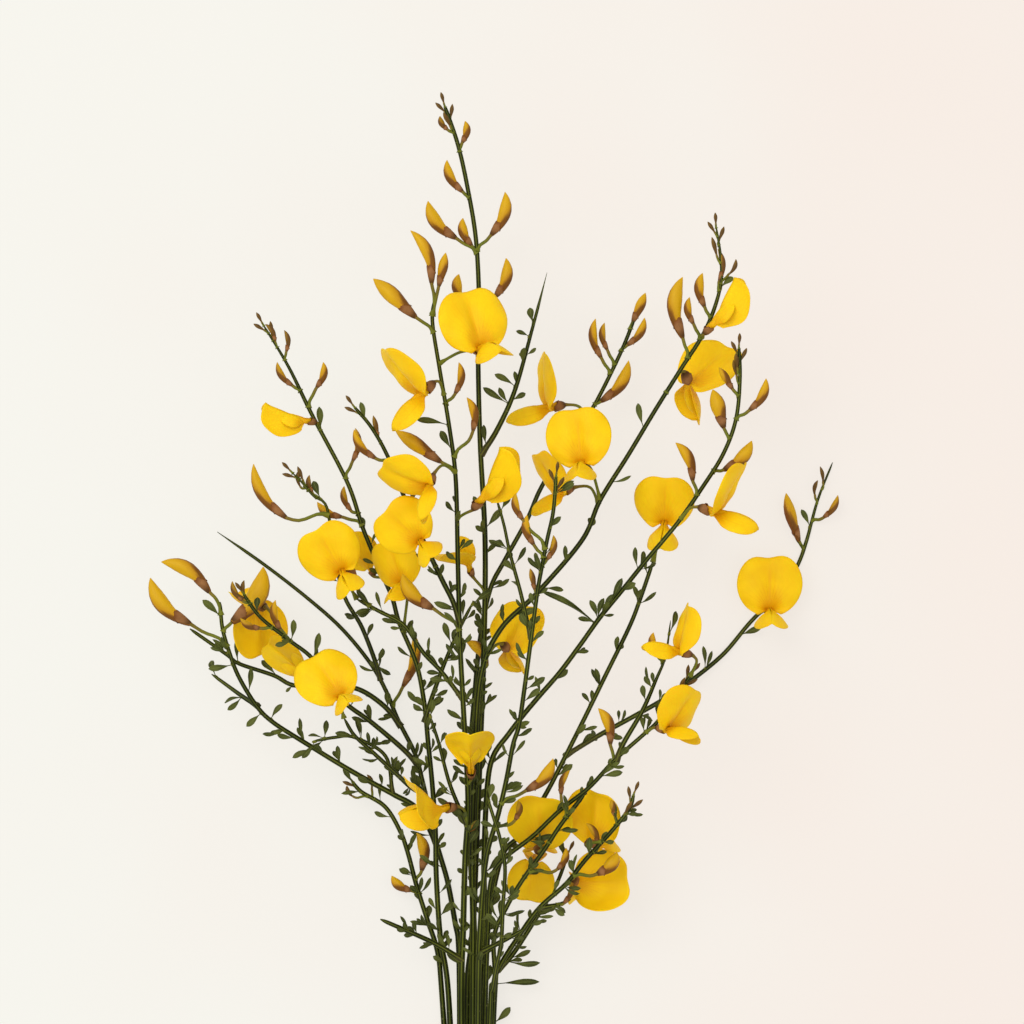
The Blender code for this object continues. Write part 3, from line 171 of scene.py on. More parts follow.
# %% Stems and side shoots
# Main stems: the name, the solid's name, the place across the bundle at the cut end and where the
# bundle opens, the layer, the height of the tip, the width at the cut end and at the tip, the route.
MAIN_STEMS = (
    ("left_lowest", "left_lowest", -5.4, -8.6, 0, 8.0, 2.1, 1.2, (
     (437, 955), (427, 923), (416, 888), (407, 854), (399, 832), (384, 808), (360, 793), (350, 781))),
    ("left_bare", "left_spread", -2.75, -3.2, 0, None, 2.3, 0.9, (
     (458, 945), (455, 927), (447, 884), (436, 845), (422, 784), (414, 755), (397, 721),
     (385, 692), (369, 664), (340, 629), (305, 598), (261, 564), (215, 532))),
    ("inner_right", "inner_right", 0.1, 0.3, 0, 15.0, 2.4, 1.1, (
     (474, 940), (470, 850), (470, 760), (475, 690), (480, 640), (490, 590), (505, 560), (527, 520),
     (540, 490), (559, 458), (588, 415), (600, 395), (622, 350), (636, 315))),
    ("far_right", "far_right", 2.75, 3.08, 0, 26.0, 2.1, 1.2, (
     (487, 930), (502, 858), (523, 834), (547, 793), (564, 760), (584, 720), (604, 679), (629, 628),
     (640, 600), (653, 562))),
    ("lowest_right", "lowest_right", 5.2, 7.4, 0, 38.0, 2.1, 1.2, (
     (499, 971), (520, 936), (540, 908), (566, 884), (585, 860), (612, 830), (629, 808), (634, 792))),
    ("left_upper", "left_upper", -4.5, -6.6, 1, 27.0, 2.2, 1.1, (
     (440, 940), (436, 880), (435, 830), (432, 786), (428, 745), (424, 704), (416, 664), (399, 623),
     (392, 598), (380, 570), (363, 529), (347, 482), (312, 415), (288, 366), (262, 323))),
    ("tall", "tall", -0.9, -0.9, 1, 30.0, 2.6, 1.2, (
     (472, 940), (476, 850), (480, 750), (484, 640), (485, 540), (480, 440), (478, 350), (479, 300),
     (476, 240), (468, 190), (458, 145), (444, 104))),
    ("low_right", "low_right", 3.7, 4.6, 2, 42.0, 2.1, 1.1, (
     (488, 930), (491, 882), (503, 860), (533, 836), (560, 810), (589, 787), (614, 760), (642, 735),
     (658, 720), (679, 691), (692, 672))),
    ("left_tall", "left_tall", -2.3, -2.7, 2, 50.0, 2.5, 1.1, (
     (463, 930), (465, 860), (468, 800), (463, 700), (460, 640), (458, 560), (456, 480), (450, 430),
     (440, 370), (433, 325), (434, 302))),
    ("high_right", "high_right", 0.8, 0.8, 2, 46.0, 2.5, 1.1, (
     (473, 930), (472, 860), (474, 780), (480, 680), (500, 630), (537, 593), (582, 540), (600, 500),
     (628, 455), (655, 410), (680, 370), (705, 330), (719, 290), (720, 260), (715, 226))),
    ("mid_right", "mid_right", 2.4, 2.9, 1, 46.0, 2.4, 1.1, (
     (484, 930), (484, 860), (487, 790), (493, 757), (508, 735), (525, 713), (541, 694), (560, 672),
     (580, 645), (600, 617), (622, 590), (646, 560), (663, 540), (680, 519), (700, 490), (722, 455),
     (735, 420), (739, 380), (738, 346))),
    ("low_right_twin", "low_right", 5.1, 7.4, 1, None, 1.9, 1.3, (
     (494, 939), (507, 907), (522, 881), (544, 850), (561, 824), (585, 793))),
    ("thin", "thin", 4.7, 6.2, 3, 40.0, 1.8, 1.0, (
     (492, 993), (496, 969), (501, 945), (503, 905), (505, 867), (500, 838), (494, 818), (487, 796))),
    ("middle", "middle", 2.1, 2.4, 3, 62.0, 2.2, 1.1, (
     (480, 930), (486, 860), (498, 815), (506, 781), (513, 744), (519, 724), (525, 683), (531, 638),
     (537, 593), (541, 570), (547, 539), (553, 511), (556, 474))),
)

# Side shoots: the name, the stem or shoot that it grows from, the height of its tip, its
# width at the root and at the tip, and its route from the root to the tip.
SIDE_SHOOTS = (
    ("tall_spur", "tall", 38.0, 1.7, 0.7, ((483, 455), (497, 430), (515, 390), (532, 330), (547, 273))),
    ("left_tall_branch", "left_tall", 54.0, 1.6, 1.0, (
     (462, 622), (453, 601), (443, 581), (431, 556), (410, 510), (390, 460), (373, 429), (354, 406))),
    ("left_cross", "left_tall", 34.0, 1.4, 1.1, (
     (466, 699), (441, 671), (423, 652), (404, 625), (379, 611), (357, 599))),
    ("left_tall_twig", "left_tall", 30.0, 1.3, 0.9, ((466, 826), (450, 785), (439, 744), (430, 716))),
    ("left_upper_twig", "left_upper", 24.0, 1.5, 0.9, (
     (427, 722), (430, 703), (445, 662), (459, 630), (472, 604))),
    ("left_low", "left_bare", 27.0, 1.7, 1.1, (
     (436, 845), (418, 812), (393, 796), (375, 786), (344, 768), (307, 745), (273, 723), (256, 706),
     (238, 676), (228, 649), (222, 627), (220, 602))),
    ("left_low_twig", "left_low", 9.0, 1.5, 0.9, ((258, 708), (240, 696), (210, 675))),
    ("left_low_thread", "left_low", 21.0, 1.2, 0.9, (
     (393, 796), (385, 757), (354, 738), (334, 738), (312, 742))),
    ("left_flower_shoot", "left_bare", 30.0, 1.5, 1.0, (
     (426, 797), (412, 790), (395, 774), (372, 752), (354, 735), (344, 718))),
    ("left_long", "left_bare", 20.0, 1.6, 1.0, (
     (400, 727), (383, 707), (357, 690), (330, 688), (293, 686), (273, 676), (238, 664), (226, 655),
     (189, 629))),
    ("left_high", "left_bare", 40.0, 1.6, 1.0, (
     (418, 770), (403, 751), (371, 723), (342, 700), (314, 660), (291, 641), (261, 617), (243, 592))),
    ("left_raceme", "left_bare", 40.0, 1.4, 0.9, (
     (379, 680), (375, 664), (361, 627), (344, 596), (334, 552), (327, 507), (314, 496), (302, 482),
     (291, 471))),
    ("far_right_branch", "far_right", None, 1.5, 1.0, (
     (567, 757), (598, 737), (637, 716), (667, 699), (692, 682), (725, 655), (753, 622), (785, 590),
     (800, 565), (809, 540), (820, 500), (835, 462))),
    ("low_right_branch", "low_right", 46.0, 1.6, 0.8, (
     (614, 759), (623, 743), (642, 710), (656, 678), (665, 655), (670, 620))),
    ("lowest_right_twin", "lowest_right", 5.0, 1.5, 1.0, (
     (497, 974), (512, 958), (533, 926), (556, 888), (569, 854))),
    ("lowest_right_loop", "lowest_right", 22.0, 1.4, 1.0, ((541, 907), (560, 905), (571, 900))),
    ("middle_twig", "middle", 50.0, 1.3, 0.8, ((531, 638), (521, 594), (510, 553), (504, 525), (497, 500))),
    ("spur_left", "left_tall", 22.0, 1.6, 1.2, ((465, 961), (431, 943), (380, 920))),
    ("spur_right", "middle", 23.0, 1.6, 1.2, ((481, 953), (508, 939), (524, 930))),
)

print(len(MAIN_STEMS), "stems and", len(SIDE_SHOOTS), "side shoots")

# %% Flowers, buds and leaflets
# Open flowers: the shoot and the picture point where the stalk leaves it, the picture point of
# the calyx mouth, the way the flower looks and the way its banner stands (x, y, towards the
# viewer), the opening of the banner in degrees, the size, the height of the calyx above the
# shoot, and how far the banner's sides fold back (a minus sign folds them forwards).
FLOWERS = (
    ("top_left_front", "left_tall", (442, 366), (479, 350),
     (0.36, 0.1, 0.92), (-0.2, 0.95, 0.1), 102, 1.1, 5, 0.6),
    ("top_left_side", "left_tall", (442, 396), (427, 390),
     (-0.68, -0.62, 0.3), (-0.74, 0.6, 0.25), 92, 1.06, 5, 1.5),
    ("left_third", "left_tall", (451, 471), (431, 482),
     (-0.35, -0.85, 0.4), (-0.93, 0.02, 0.3), 90, 0.93, 6, 1.4),
    ("left_fourth", "left_tall_branch", (436, 566), (420, 540),
     (0.15, -0.3, 0.93), (-0.7, 0.68, 0.2), 95, 0.9, 4, 1.6),
    ("left_fifth", "left_upper", (404, 634), (404, 582),
     (-0.4, -0.3, 0.85), (-0.3, 0.85, 0.25), 95, 0.8, 7, 1.6),
    ("left_front", "left_cross", (357, 599), (342, 570),
     (0.1, -0.3, 0.9), (-0.45, 0.7, 0.5), 98, 0.95, 3, 1.2),
    ("left_behind", "left_upper", (384, 578), (371, 571),
     (-0.4, 0.75, -0.3), (-0.4, 0.1, 0.9), 60, 0.7, -3, -1.0),
    ("centre_half", "left_tall", (458, 517), (479, 502),
     (0.62, 0.78, 0.1), (-0.8, 0.55, 0.25), 22, 0.98, 5, -2.9),
    ("centre_behind", "tall", (484, 592), (470, 570),
     (-0.35, 0.85, 0.2), (-0.7, -0.2, 0.6), 60, 0.7, 1, -1.0),
    ("centre_low", "high_right", (487, 662), (506, 648),
     (0.3, -0.3, -0.6), (0.35, 0.9, -0.1), 100, 0.9, -6, 1.2),
    ("tall_bud", "left_upper", (317, 433), (309, 421),
     (-0.97, 0.2, 0.1), (0.25, 0.82, 0.5), 14, 0.74, 1, -2.4),
    ("inner_side", "inner_right", (588, 415), (555, 406),
     (-0.96, -0.14, 0.2), (-0.38, 0.92, 0.15), 95, 1.0, 4, 1.1),
    ("inner_behind", "high_right", (597, 504), (566, 491),
     (-0.75, -0.35, 0.35), (-0.6, 0.8, 0.1), 85, 0.85, -8, 1.6),
    ("right_front", "high_right", (600, 500), (582, 463),
     (-0.12, -0.12, 0.95), (-0.1, 0.95, 0.1), 98, 1.0, 5, 1.0),
    ("high_back", "high_right", (664, 395), (687, 380),
     (0.25, -0.6, -0.6), (0.52, 0.85, 0.0), 96, 1.05, -5, 1.6),
    ("high_half", "high_right", (700, 338), (709, 328),
     (0.64, 0.76, 0.1), (-0.7, 0.65, 0.3), 20, 0.86, 4, -2.9),
    ("mid_front", "far_right", (653, 562), (665, 521),
     (-0.1, -0.45, 0.85), (0.03, 0.92, 0.2), 98, 0.92, 0, 1.4),
    ("mid_side", "mid_right", (680, 520), (708, 510),
     (0.94, -0.26, 0.2), (0.5, 0.82, 0.25), 76, 1.04, 4, 1.5),
    ("far_front", "far_right_branch", (760, 615), (771, 611),
     (0.03, -0.12, 0.98), (0.0, 0.98, 0.1), 98, 1.0, 5, 0.9),
    ("low_side", "low_right", (690, 675), (683, 652),
     (-0.93, 0.28, 0.12), (0.3, 0.9, 0.1), 88, 0.86, 4, 2.2),
    ("low_front", "low_right", (645, 733), (663, 728),
     (0.75, -0.1, 0.6), (0.6, 0.75, 0.25), 68, 0.88, 4, 1.8),
    ("under_left", "low_right_twin", (549, 843), (539, 849),
     (0.05, 0.3, -0.75), (0.02, 0.95, 0.25), 100, 1.0, -6, 1.2),
    ("under_right", "lowest_right", (602, 842), (591, 843),
     (0.5, 0.15, -0.7), (0.05, 0.95, 0.15), 95, 0.95, -6, 1.6),
    ("lowest_right", "lowest_right", (556, 896), (575, 882),
     (0.2, -0.25, -0.93), (0.98, 0.0, 0.1), 92, 0.97, -6, 3.0),
    ("under_low", "low_right_twin", (524, 878), (533, 864),
     (0.05, 0.1, -0.95), (-0.15, -0.95, 0.05), 90, 0.72, -8, 1.0),
    ("drooping_centre", "left_tall", (467, 786), (471, 771),
     (-0.03, 0.93, 0.35), (0.05, -0.3, 0.93), 22, 0.86, 3, -1.3),
    ("drooping_left", "left_tall", (466, 826), (447, 808),
     (-0.93, -0.12, 0.3), (0.1, 0.65, 0.7), 56, 0.98, 5, -1.0),
    ("spread_front", "left_flower_shoot", (344, 718), (341, 697),
     (0.08, 0.05, 0.97), (-0.42, 0.72, 0.3), 110, 0.95, 4, 0.9),
    ("spread_left", "left_high", (285, 635), (260, 606),
     (-0.5, 0.1, -0.82), (0.1, -0.93, -0.15), 92, 0.95, -15, 1.0),
    ("spread_low", "left_high", (317, 664), (307, 676),
     (-0.75, 0.6, -0.2), (-0.2, 0.2, 0.9), 28, 0.8, -5, -2.4),
)

# Large and middling buds: the shoot, then for each bud the column and row of the calyx's foot, those of
# the tip, and the radius
BUDS = (
    ("left_tall", ((432, 285, 411, 232, 1.8), (439, 288, 446, 254, 1.5), (416, 318, 374, 280, 2.3),
     (441, 462, 396, 431, 2.1), (455, 395, 459, 363, 1.3), (473, 432, 467, 398, 1.4),
     (433, 608, 403, 574, 2.2), (478, 822, 468, 832, 1.2))),
    ("tall", ((463, 192, 447, 160, 1.5), (491, 235, 505, 192, 1.9), (456, 238, 428, 201, 2.0),
     (472, 246, 463, 218, 1.5), (495, 297, 506, 258, 1.8), (463, 302, 459, 274, 1.6),
     (462, 143, 465, 121, 1.3), (448, 130, 440, 116, 1.1), (487, 664, 466, 642, 1.7))),
    ("inner_right", ((602, 358, 596, 318, 1.4), (608, 350, 605, 322, 1.2), (633, 322, 646, 292, 1.5),
     (627, 345, 645, 317, 1.4), (601, 401, 629, 360, 1.9))),
    ("left_upper", ((293, 386, 277, 362, 1.2), (316, 388, 323, 362, 1.3), (286, 352, 284, 330, 1.0),
     (275, 342, 265, 324, 1.0), (352, 462, 355, 428, 1.2), (351, 511, 344, 486, 1.2),
     (342, 517, 317, 502, 1.4))),
    ("left_tall_branch", ((377, 459, 355, 430, 1.4), (379, 438, 374, 416, 1.0))),
    ("left_raceme", ((287, 518, 254, 464, 1.8),)),
    ("left_cross", ((357, 582, 350, 530, 1.9),)),
    ("left_raceme", ((301, 487, 300, 470, 0.9), (313, 493, 310, 475, 1.0))),
    ("left_bare", ((402, 688, 413, 634, 1.7),)),
    ("left_low", ((232, 622, 263, 567, 2.8), (190, 624, 150, 578, 2.3), (209, 592, 161, 562, 2.2))),
    ("left_high", ((244, 601, 233, 581, 1.1), (246, 596, 245, 580, 0.9), (261, 628, 241, 618, 1.2),
     (281, 630, 276, 600, 1.3))),
    ("left_lowest", ((411, 893, 391, 878, 1.5), (421, 873, 416, 835, 1.8), (352, 798, 346, 787, 0.9),
     (371, 790, 366, 776, 0.9))),
    ("high_right", ((716, 257, 711, 238, 0.9), (682, 338, 682, 278, 2.2), (704, 308, 702, 274, 1.5),
     (693, 325, 689, 298, 1.3), (718, 283, 717, 250, 1.1), (728, 275, 735, 260, 0.9))),
    ("mid_right", ((732, 390, 718, 368, 1.3), (723, 428, 712, 390, 2.2), (748, 411, 765, 379, 1.5),
     (723, 470, 751, 441, 2.0), (692, 481, 675, 443, 1.7))),
    ("far_right_branch", ((801, 541, 788, 493, 1.9), (825, 518, 840, 495, 1.2), (817, 495, 820, 480, 0.9),
     (825, 482, 822, 466, 0.8))),
    ("low_right", ((610, 744, 598, 708, 1.7),)),
    ("low_right_branch", ((657, 655, 653, 632, 1.3),)),
    ("low_right_twin", ((561, 795, 570, 770, 1.2), (557, 870, 566, 848, 1.3))),
    ("lowest_right", ((597, 874, 617, 852, 2.0), (615, 816, 611, 799, 1.2), (598, 846, 586, 823, 1.2))),
    ("lowest_right_loop", ((563, 905, 572, 880, 1.1),)),
    ("middle", ((526, 790, 553, 758, 1.9), (515, 820, 518, 800, 1.2), (546, 560, 553, 535, 1.2),
     (534, 545, 527, 515, 1.4), (523, 520, 516, 493, 1.3), (535, 590, 530, 568, 1.1))),
)

# Small buds crowded at a tip: the shoot and how many
TIP_BUDS = (
    ("tall", 4), ("high_right", 3), ("mid_right", 5), ("left_upper", 3), ("left_tall_branch", 2),
    ("left_raceme", 3), ("far_right_branch", 2), ("low_right", 4), ("lowest_right", 4), ("left_high", 2),
    ("left_lowest", 2), ("lowest_right_twin", 2), ("middle", 3), ("middle_twig", 2),
)

# Leaflets: the shoot, the shares of its length where they start and end, and how many
LEAVES = (
    ("tall_spur", 0.05, 0.75, 4), ("left_tall", 0.38, 0.86, 3), ("tall", 0.38, 0.62, 4),
    ("left_tall_branch", 0.1, 0.95, 3), ("left_cross", 0.1, 0.95, 3), ("left_tall_twig", 0.2, 1.0, 3),
    ("left_upper_twig", 0.2, 1.0, 3), ("left_upper", 0.35, 0.9, 4), ("left_low", 0.1, 0.95, 5),
    ("left_low_twig", 0.3, 1.0, 2), ("left_low_thread", 0.2, 1.0, 2), ("left_flower_shoot", 0.2, 0.9, 2),
    ("left_long", 0.1, 0.8, 4), ("left_high", 0.1, 0.9, 3), ("left_raceme", 0.05, 0.85, 3),
    ("left_bare", 0.3, 0.55, 2), ("left_lowest", 0.3, 0.97, 3), ("inner_right", 0.35, 0.85, 3),
    ("high_right", 0.4, 0.95, 4), ("mid_right", 0.35, 0.7, 4), ("far_right", 0.4, 0.97, 3),
    ("far_right_branch", 0.1, 0.85, 3), ("low_right", 0.4, 0.9, 3), ("low_right_branch", 0.1, 0.9, 3),
    ("low_right_twin", 0.35, 0.95, 3), ("lowest_right", 0.35, 0.85, 3), ("lowest_right_twin", 0.2, 0.9, 2),
    ("middle", 0.35, 0.9, 4), ("middle_twig", 0.1, 0.9, 3), ("thin", 0.3, 1.0, 3),
)

print(len(FLOWERS), "flowers,", sum(len(row[1]) for row in BUDS), "large buds")

# %% [markdown]
# ## Lines that bend like switches
# A stem could be drawn by hand as a curve, but 33 stems and shoots that must not run through
# each other are easier to keep in tables. A smooth spline runs through the points of each route, and
# its height follows a quarter of a sine wave, so a stem lifts soon and then levels out. The
# solids use a few straight links along that line; the fine pieces here use the line itself.

# %% Curves
def unit(vector):
    return np.asarray(vector, float) / max(np.linalg.norm(vector), 1e-9)


def on_table(pixel):
    """The point over the table that a picture point stands for, without its height."""
    return np.array([(pixel[0] - FOOT_COLUMN) * MM_PER_PIXEL, (FOOT_ROW - pixel[1]) * MM_PER_PIXEL])


def run_lengths(points):
    """How far along the line through them each of the points lies."""
    steps = np.linalg.norm(np.diff(points, axis=0), axis=1)
    return np.concatenate([[0], np.cumsum(steps)])


def spline(points, step):
    """Points at even steps along a smooth curve through the given ones."""
    points = np.asarray(points, float)
    padded = np.vstack([2 * points[0] - points[1], points, 2 * points[-1] - points[-2]])
    dense = []
    for before, start, end, after in zip(padded, padded[1:], padded[2:], padded[3:]):
        for t in np.linspace(0, 1, 24, endpoint=False):
            square, cube = t * t, t * t * t
            bent = (2 * before - 5 * start + 4 * end - after) * square
            turned = (3 * start - before - 3 * end + after) * cube
            dense.append(0.5 * (2 * start + (end - before) * t + bent + turned))
    dense = np.array(dense + [points[-1]])
    lengths = run_lengths(dense)
    places = np.linspace(0, lengths[-1], max(2, int(round(lengths[-1] / step)) + 1))
    return np.column_stack([np.interp(places, lengths, column) for column in dense.T])


def rise(share):
    """How far a shoot has climbed towards its tip's height, at a share of its length."""
    return math.sin(0.5 * math.pi * min(max(share, 0.0), 1.0))


def simplified(points, tolerance):
    """The few of these points whose straight links stay within the tolerance of them all."""
    if len(points) < 3:
        return points
    start, end = points[0, :3], points[-1, :3]
    along = unit(end - start)
    apart = points[:, :3] - start
    apart = np.linalg.norm(apart - np.outer(apart @ along, along), axis=1)
    furthest = int(np.argmax(apart))
    if apart[furthest] <= tolerance:
        return points[[0, -1]]
    first = simplified(points[:furthest + 1], tolerance)
    return np.vstack([first[:-1], simplified(points[furthest:], tolerance)])


def linked(points, step):
    """Points at most a step apart along the straight links between the given ones, which all stay."""
    found = [points[0]]
    for start, end in zip(points, points[1:]):
        count = max(1, int(math.ceil(np.linalg.norm(end[:3] - start[:3]) / step)))
        for index in range(1, count + 1):
            found.append(start + (end - start) * index / count)
    return np.array(found)


print("foot of the picture:", on_table((FOOT_COLUMN, FOOT_ROW)))

# %% Shoots
class Shoot:
    """A stem or side shoot: its centre line and radius, as samples of a few links and as the line itself."""

    def __init__(self, name, node, centre, radius, kept=()):
        self.name = name
        self.node = node
        self.smooth = np.column_stack([centre, radius])
        ends = [0, *kept, len(radius) - 1]
        parts = [simplified(self.smooth[first:last + 1], ROUTE_TOLERANCE)[:-1]
                 for first, last in zip(ends, ends[1:])]
        samples = linked(np.vstack(parts + [self.smooth[-1:]]), SAMPLE_STEP)
        self.centre = samples[:, :3]
        self.radius = samples[:, 3]
        lengths = run_lengths(self.centre)
        self.length = lengths[-1]
        self.share = lengths / self.length

    def at(self, share):
        return np.array([np.interp(share, self.share, column) for column in self.centre.T])

    def smooth_at(self, share):
        """The place at a share of the length on the smooth line."""
        run = run_lengths(self.smooth[:, :3])
        return np.array([np.interp(share * run[-1], run, column) for column in self.smooth[:, :3].T])

    def tangent(self, share):
        return unit(self.at(min(share + 0.01, 1.0)) - self.at(max(share - 0.01, 0.0)))

    def way_out(self, share, turn, lean, lift, roll):
        """The way of what grows out of the shoot at a turn round it, and the way its upper face looks."""
        tangent = self.tangent(share)
        side = unit(np.cross(tangent, (0, 0, 1.0)))
        over = np.cross(side, tangent)
        away = math.cos(turn) * side + lift * math.sin(turn) * over
        return unit(tangent + lean * away), unit(over + roll * math.sin(3 * turn) * side)

    def nearest(self, flat):
        """The share of the length that lies nearest to a point over the table."""
        return float(self.share[np.argmin(np.linalg.norm(self.centre[:, :2] - flat, axis=1))])

    def distance(self, flat):
        return np.linalg.norm(self.at(self.nearest(flat))[:2] - flat)


def main_shoot(name, node, cut_x, x, layer, tip_height, foot_width, tip_width, route, meets=None):
    """A stem from its cut end in the bundle to its tip. The stems lie closest where the bundle is held."""
    held = CUT_END + HELD_LENGTH
    flat = [(cut_x, CUT_END), (cut_x, held), (x, BUNDLE_TOP)] + [on_table(pixel) for pixel in route]
    flat = spline(flat, SAMPLE_STEP)
    start = int(np.argmax(flat[:, 1] > BUNDLE_TOP))
    share = np.clip((np.arange(len(flat)) - start) / (len(flat) - 1 - start), 0, 1)
    opened = np.clip((flat[:, 1] - held) / (BUNDLE_TOP - held), 0, 1)
    waist = foot_width * (1 + (WAIST_SHARE - 1) * opened)
    radius = 0.5 * (waist + (tip_width - waist) * share)
    foot_height = 0.5 * waist * FLAT_SHARE + (HELD_PITCH + (ROW_PITCH - HELD_PITCH) * opened) * layer
    if meets is not None:
        tip_height = meets.at(meets.nearest(flat[-1]))[2]
    if tip_height is None:
        height = radius * FLAT_SHARE
    else:
        climb = np.array([rise(s) for s in share])
        height = foot_height + (tip_height - foot_height) * climb
    kept = (int(np.argmax(flat[:, 1] > held)), start)
    return Shoot(name, "stem_" + node, np.column_stack([flat, height]), radius, kept)


def side_shoot(name, parent, tip_height, root_width, tip_width, route):
    """A shoot that starts on its parent's centre line."""
    root = parent.at(parent.nearest(on_table(route[0])))
    flat = spline([root[:2]] + [on_table(pixel) for pixel in route[1:]], SAMPLE_STEP)
    share = np.linspace(0, 1, len(flat))
    radius = 0.5 * (root_width + (tip_width - root_width) * share)
    if tip_height is None:
        resting = radius * FLAT_SHARE
        height = resting + (root[2] - resting) * np.clip(1 - share / TOUCHDOWN, 0, 1) ** 2
    else:
        height = np.array([root[2] + (tip_height - root[2]) * rise(s) for s in share])
    return Shoot(name, parent.node, np.column_stack([flat, height]), radius)


def all_shoots():
    shoots = {}
    for row in MAIN_STEMS:
        meets = shoots["low_right"] if row[0] == "low_right_twin" else None
        shoots[row[0]] = main_shoot(*row, meets)
    for name, parent, tip_height, root_width, tip_width, route in SIDE_SHOOTS:
        shoots[name] = side_shoot(name, shoots[parent], tip_height, root_width, tip_width, route)
    return shoots


print("shoots:", len(all_shoots()))

# %% [markdown]
# ## Room for every flower
# Flowers and buds crowd each other, and no petal may pass through a stem. Each placed piece
# is kept as a cloud of small balls. The next piece tries its own height first, then steps away
# until its balls are clear of all others. The solids were placed by the same search, so
# running it again finds the same places.

# %% Balls that hold a place
class Space:
    """Every placed piece as small balls, so that the next one can be placed clear of the rest."""

    def __init__(self):
        self.balls = np.zeros((0, 4))
        self.owners = np.zeros(0, int)
        self.numbers = {}

    def number(self, owner):
        return self.numbers.setdefault(owner, len(self.numbers))

    def add(self, owner, balls):
        self.balls = np.vstack([self.balls, balls])
        self.owners = np.concatenate([self.owners, np.full(len(balls), self.number(owner))])

    def room(self, balls, ignored=()):
        """The smallest gap from these balls to the table and to any piece that isn't ignored."""
        gap = float((balls[:, 2] - balls[:, 3]).min()) - TABLE_GAP + CLEARANCE
        low = (balls[:, :3] - balls[:, 3:]).min(axis=0) - 4
        high = (balls[:, :3] + balls[:, 3:]).max(axis=0) + 4
        near = ((self.balls[:, :3] > low) & (self.balls[:, :3] < high)).all(axis=1)
        for owner in ignored:
            near &= self.owners != self.number(owner)
        others = self.balls[near]
        if len(others):
            apart = np.linalg.norm(balls[:, None, :3] - others[None, :, :3], axis=2)
            gap = min(gap, float((apart - balls[:, None, 3] - others[None, :, 3]).min()))
        return gap


def capsule(points, radii):
    """Balls along a line of points."""
    points = np.asarray(points, float)
    lengths = run_lengths(points)
    places = np.linspace(0, lengths[-1], max(2, int(lengths[-1] / 0.8) + 1))
    columns = np.column_stack([points, radii]).T
    return np.column_stack([np.interp(places, lengths, column) for column in columns])


def sheet_balls(points, triangles, radius, step):
    """Small balls spread over a sheet."""
    found = []
    for a, b, c in triangles:
        longest = max(np.linalg.norm(points[i] - points[j]) for i, j in ((a, b), (b, c), (c, a)))
        parts = max(1, int(math.ceil(longest / step)))
        for first in range(parts + 1):
            for second in range(parts + 1 - first):
                u, v = first / parts, second / parts
                found.append((1 - u - v) * points[a] + u * points[b] + v * points[c])
    found = np.array(found)
    return np.column_stack([found, np.full(len(found), radius)])


def outward_tries(spread):
    """Offsets to try, nearest first: 0, +1, -1, +2, -2 and so on."""
    yield 0.0
    for step in range(1, spread + 1):
        yield float(step)
        yield float(-step)


print("offsets tried first:", list(outward_tries(2)))

# %% Petals as sheets of points
def strips(rows):
    """Triangles between rows of point numbers that all run the same way."""
    triangles = []
    for first_row, second_row in zip(rows, rows[1:]):
        i, j = 0, 0
        while i < len(first_row) - 1 or j < len(second_row) - 1:
            ahead_first = (i + 1) / max(1, len(first_row) - 1)
            ahead_second = (j + 1) / max(1, len(second_row) - 1)
            if j == len(second_row) - 1 or (i < len(first_row) - 1 and ahead_first < ahead_second):
                triangles.append((first_row[i], second_row[j], first_row[i + 1]))
                i += 1
            else:
                triangles.append((first_row[i], second_row[j], second_row[j + 1]))
                j += 1
    return triangles


def banner_place(reach, angle, opening, fold):
    """One point of the banner as (forward, up, side), and how far its edge is at that angle."""
    tilt = math.radians(opening - 90)
    across = BANNER_CENTRE * math.sin(angle)
    edge = BANNER_CENTRE * math.cos(angle) + math.sqrt(BANNER_RADIUS ** 2 - across ** 2)
    edge -= BANNER_NOTCH * math.exp(-(angle / NOTCH_ANGLE) ** 2)
    side = reach * edge * math.sin(angle)
    up = reach * edge * math.cos(angle)
    forward = FAN_START + FAN_AHEAD * (1 - math.exp(-reach * edge / FAN_CURVE))
    forward = forward - SIDES_BACK * max(fold, 0) * side * side
    turn = min(FOLD_LIMIT, -min(fold, 0) * FOLD_TURN)
    folded = abs(side) * math.sin(turn)
    side *= math.cos(turn)
    ahead = forward - up * math.sin(tilt) + folded * math.cos(tilt)
    back = up * math.cos(tilt) + (0.3 * forward + folded) * math.sin(tilt)
    return np.array([ahead, back + 0.3, side]), edge


def banner_sheet(rows, opening, fold):
    """The banner petal as (forward, up, side) points: a narrow claw, then a fan bent back and folded."""
    points = list(BANNER_CLAW)
    numbers = [range(0, 2), range(2, 4)]
    for reach, count in rows:
        numbers.append(range(len(points), len(points) + count))
        for angle in np.linspace(-BANNER_SPREAD, BANNER_SPREAD, count):
            points.append(banner_place(reach, angle, opening, fold)[0])
    return np.array(points), strips(numbers)


def wing_frame(hand, droop):
    """The directions along a wing, across it and out of it, as (forward, up, side). The hand is 1 or -1."""
    sideways = hand * math.cos(droop) * math.sin(WING_SPREAD)
    along = np.array([math.cos(droop) * math.cos(WING_SPREAD), -math.sin(droop), sideways])
    across = unit(np.cross(along, (0, 0, 1.0)))
    outward = unit(np.cross(along, across)) * -hand
    across = math.cos(WING_TENT) * across + math.sin(WING_TENT) * hand * np.array([0, 0, 1.0])
    return along, across, outward


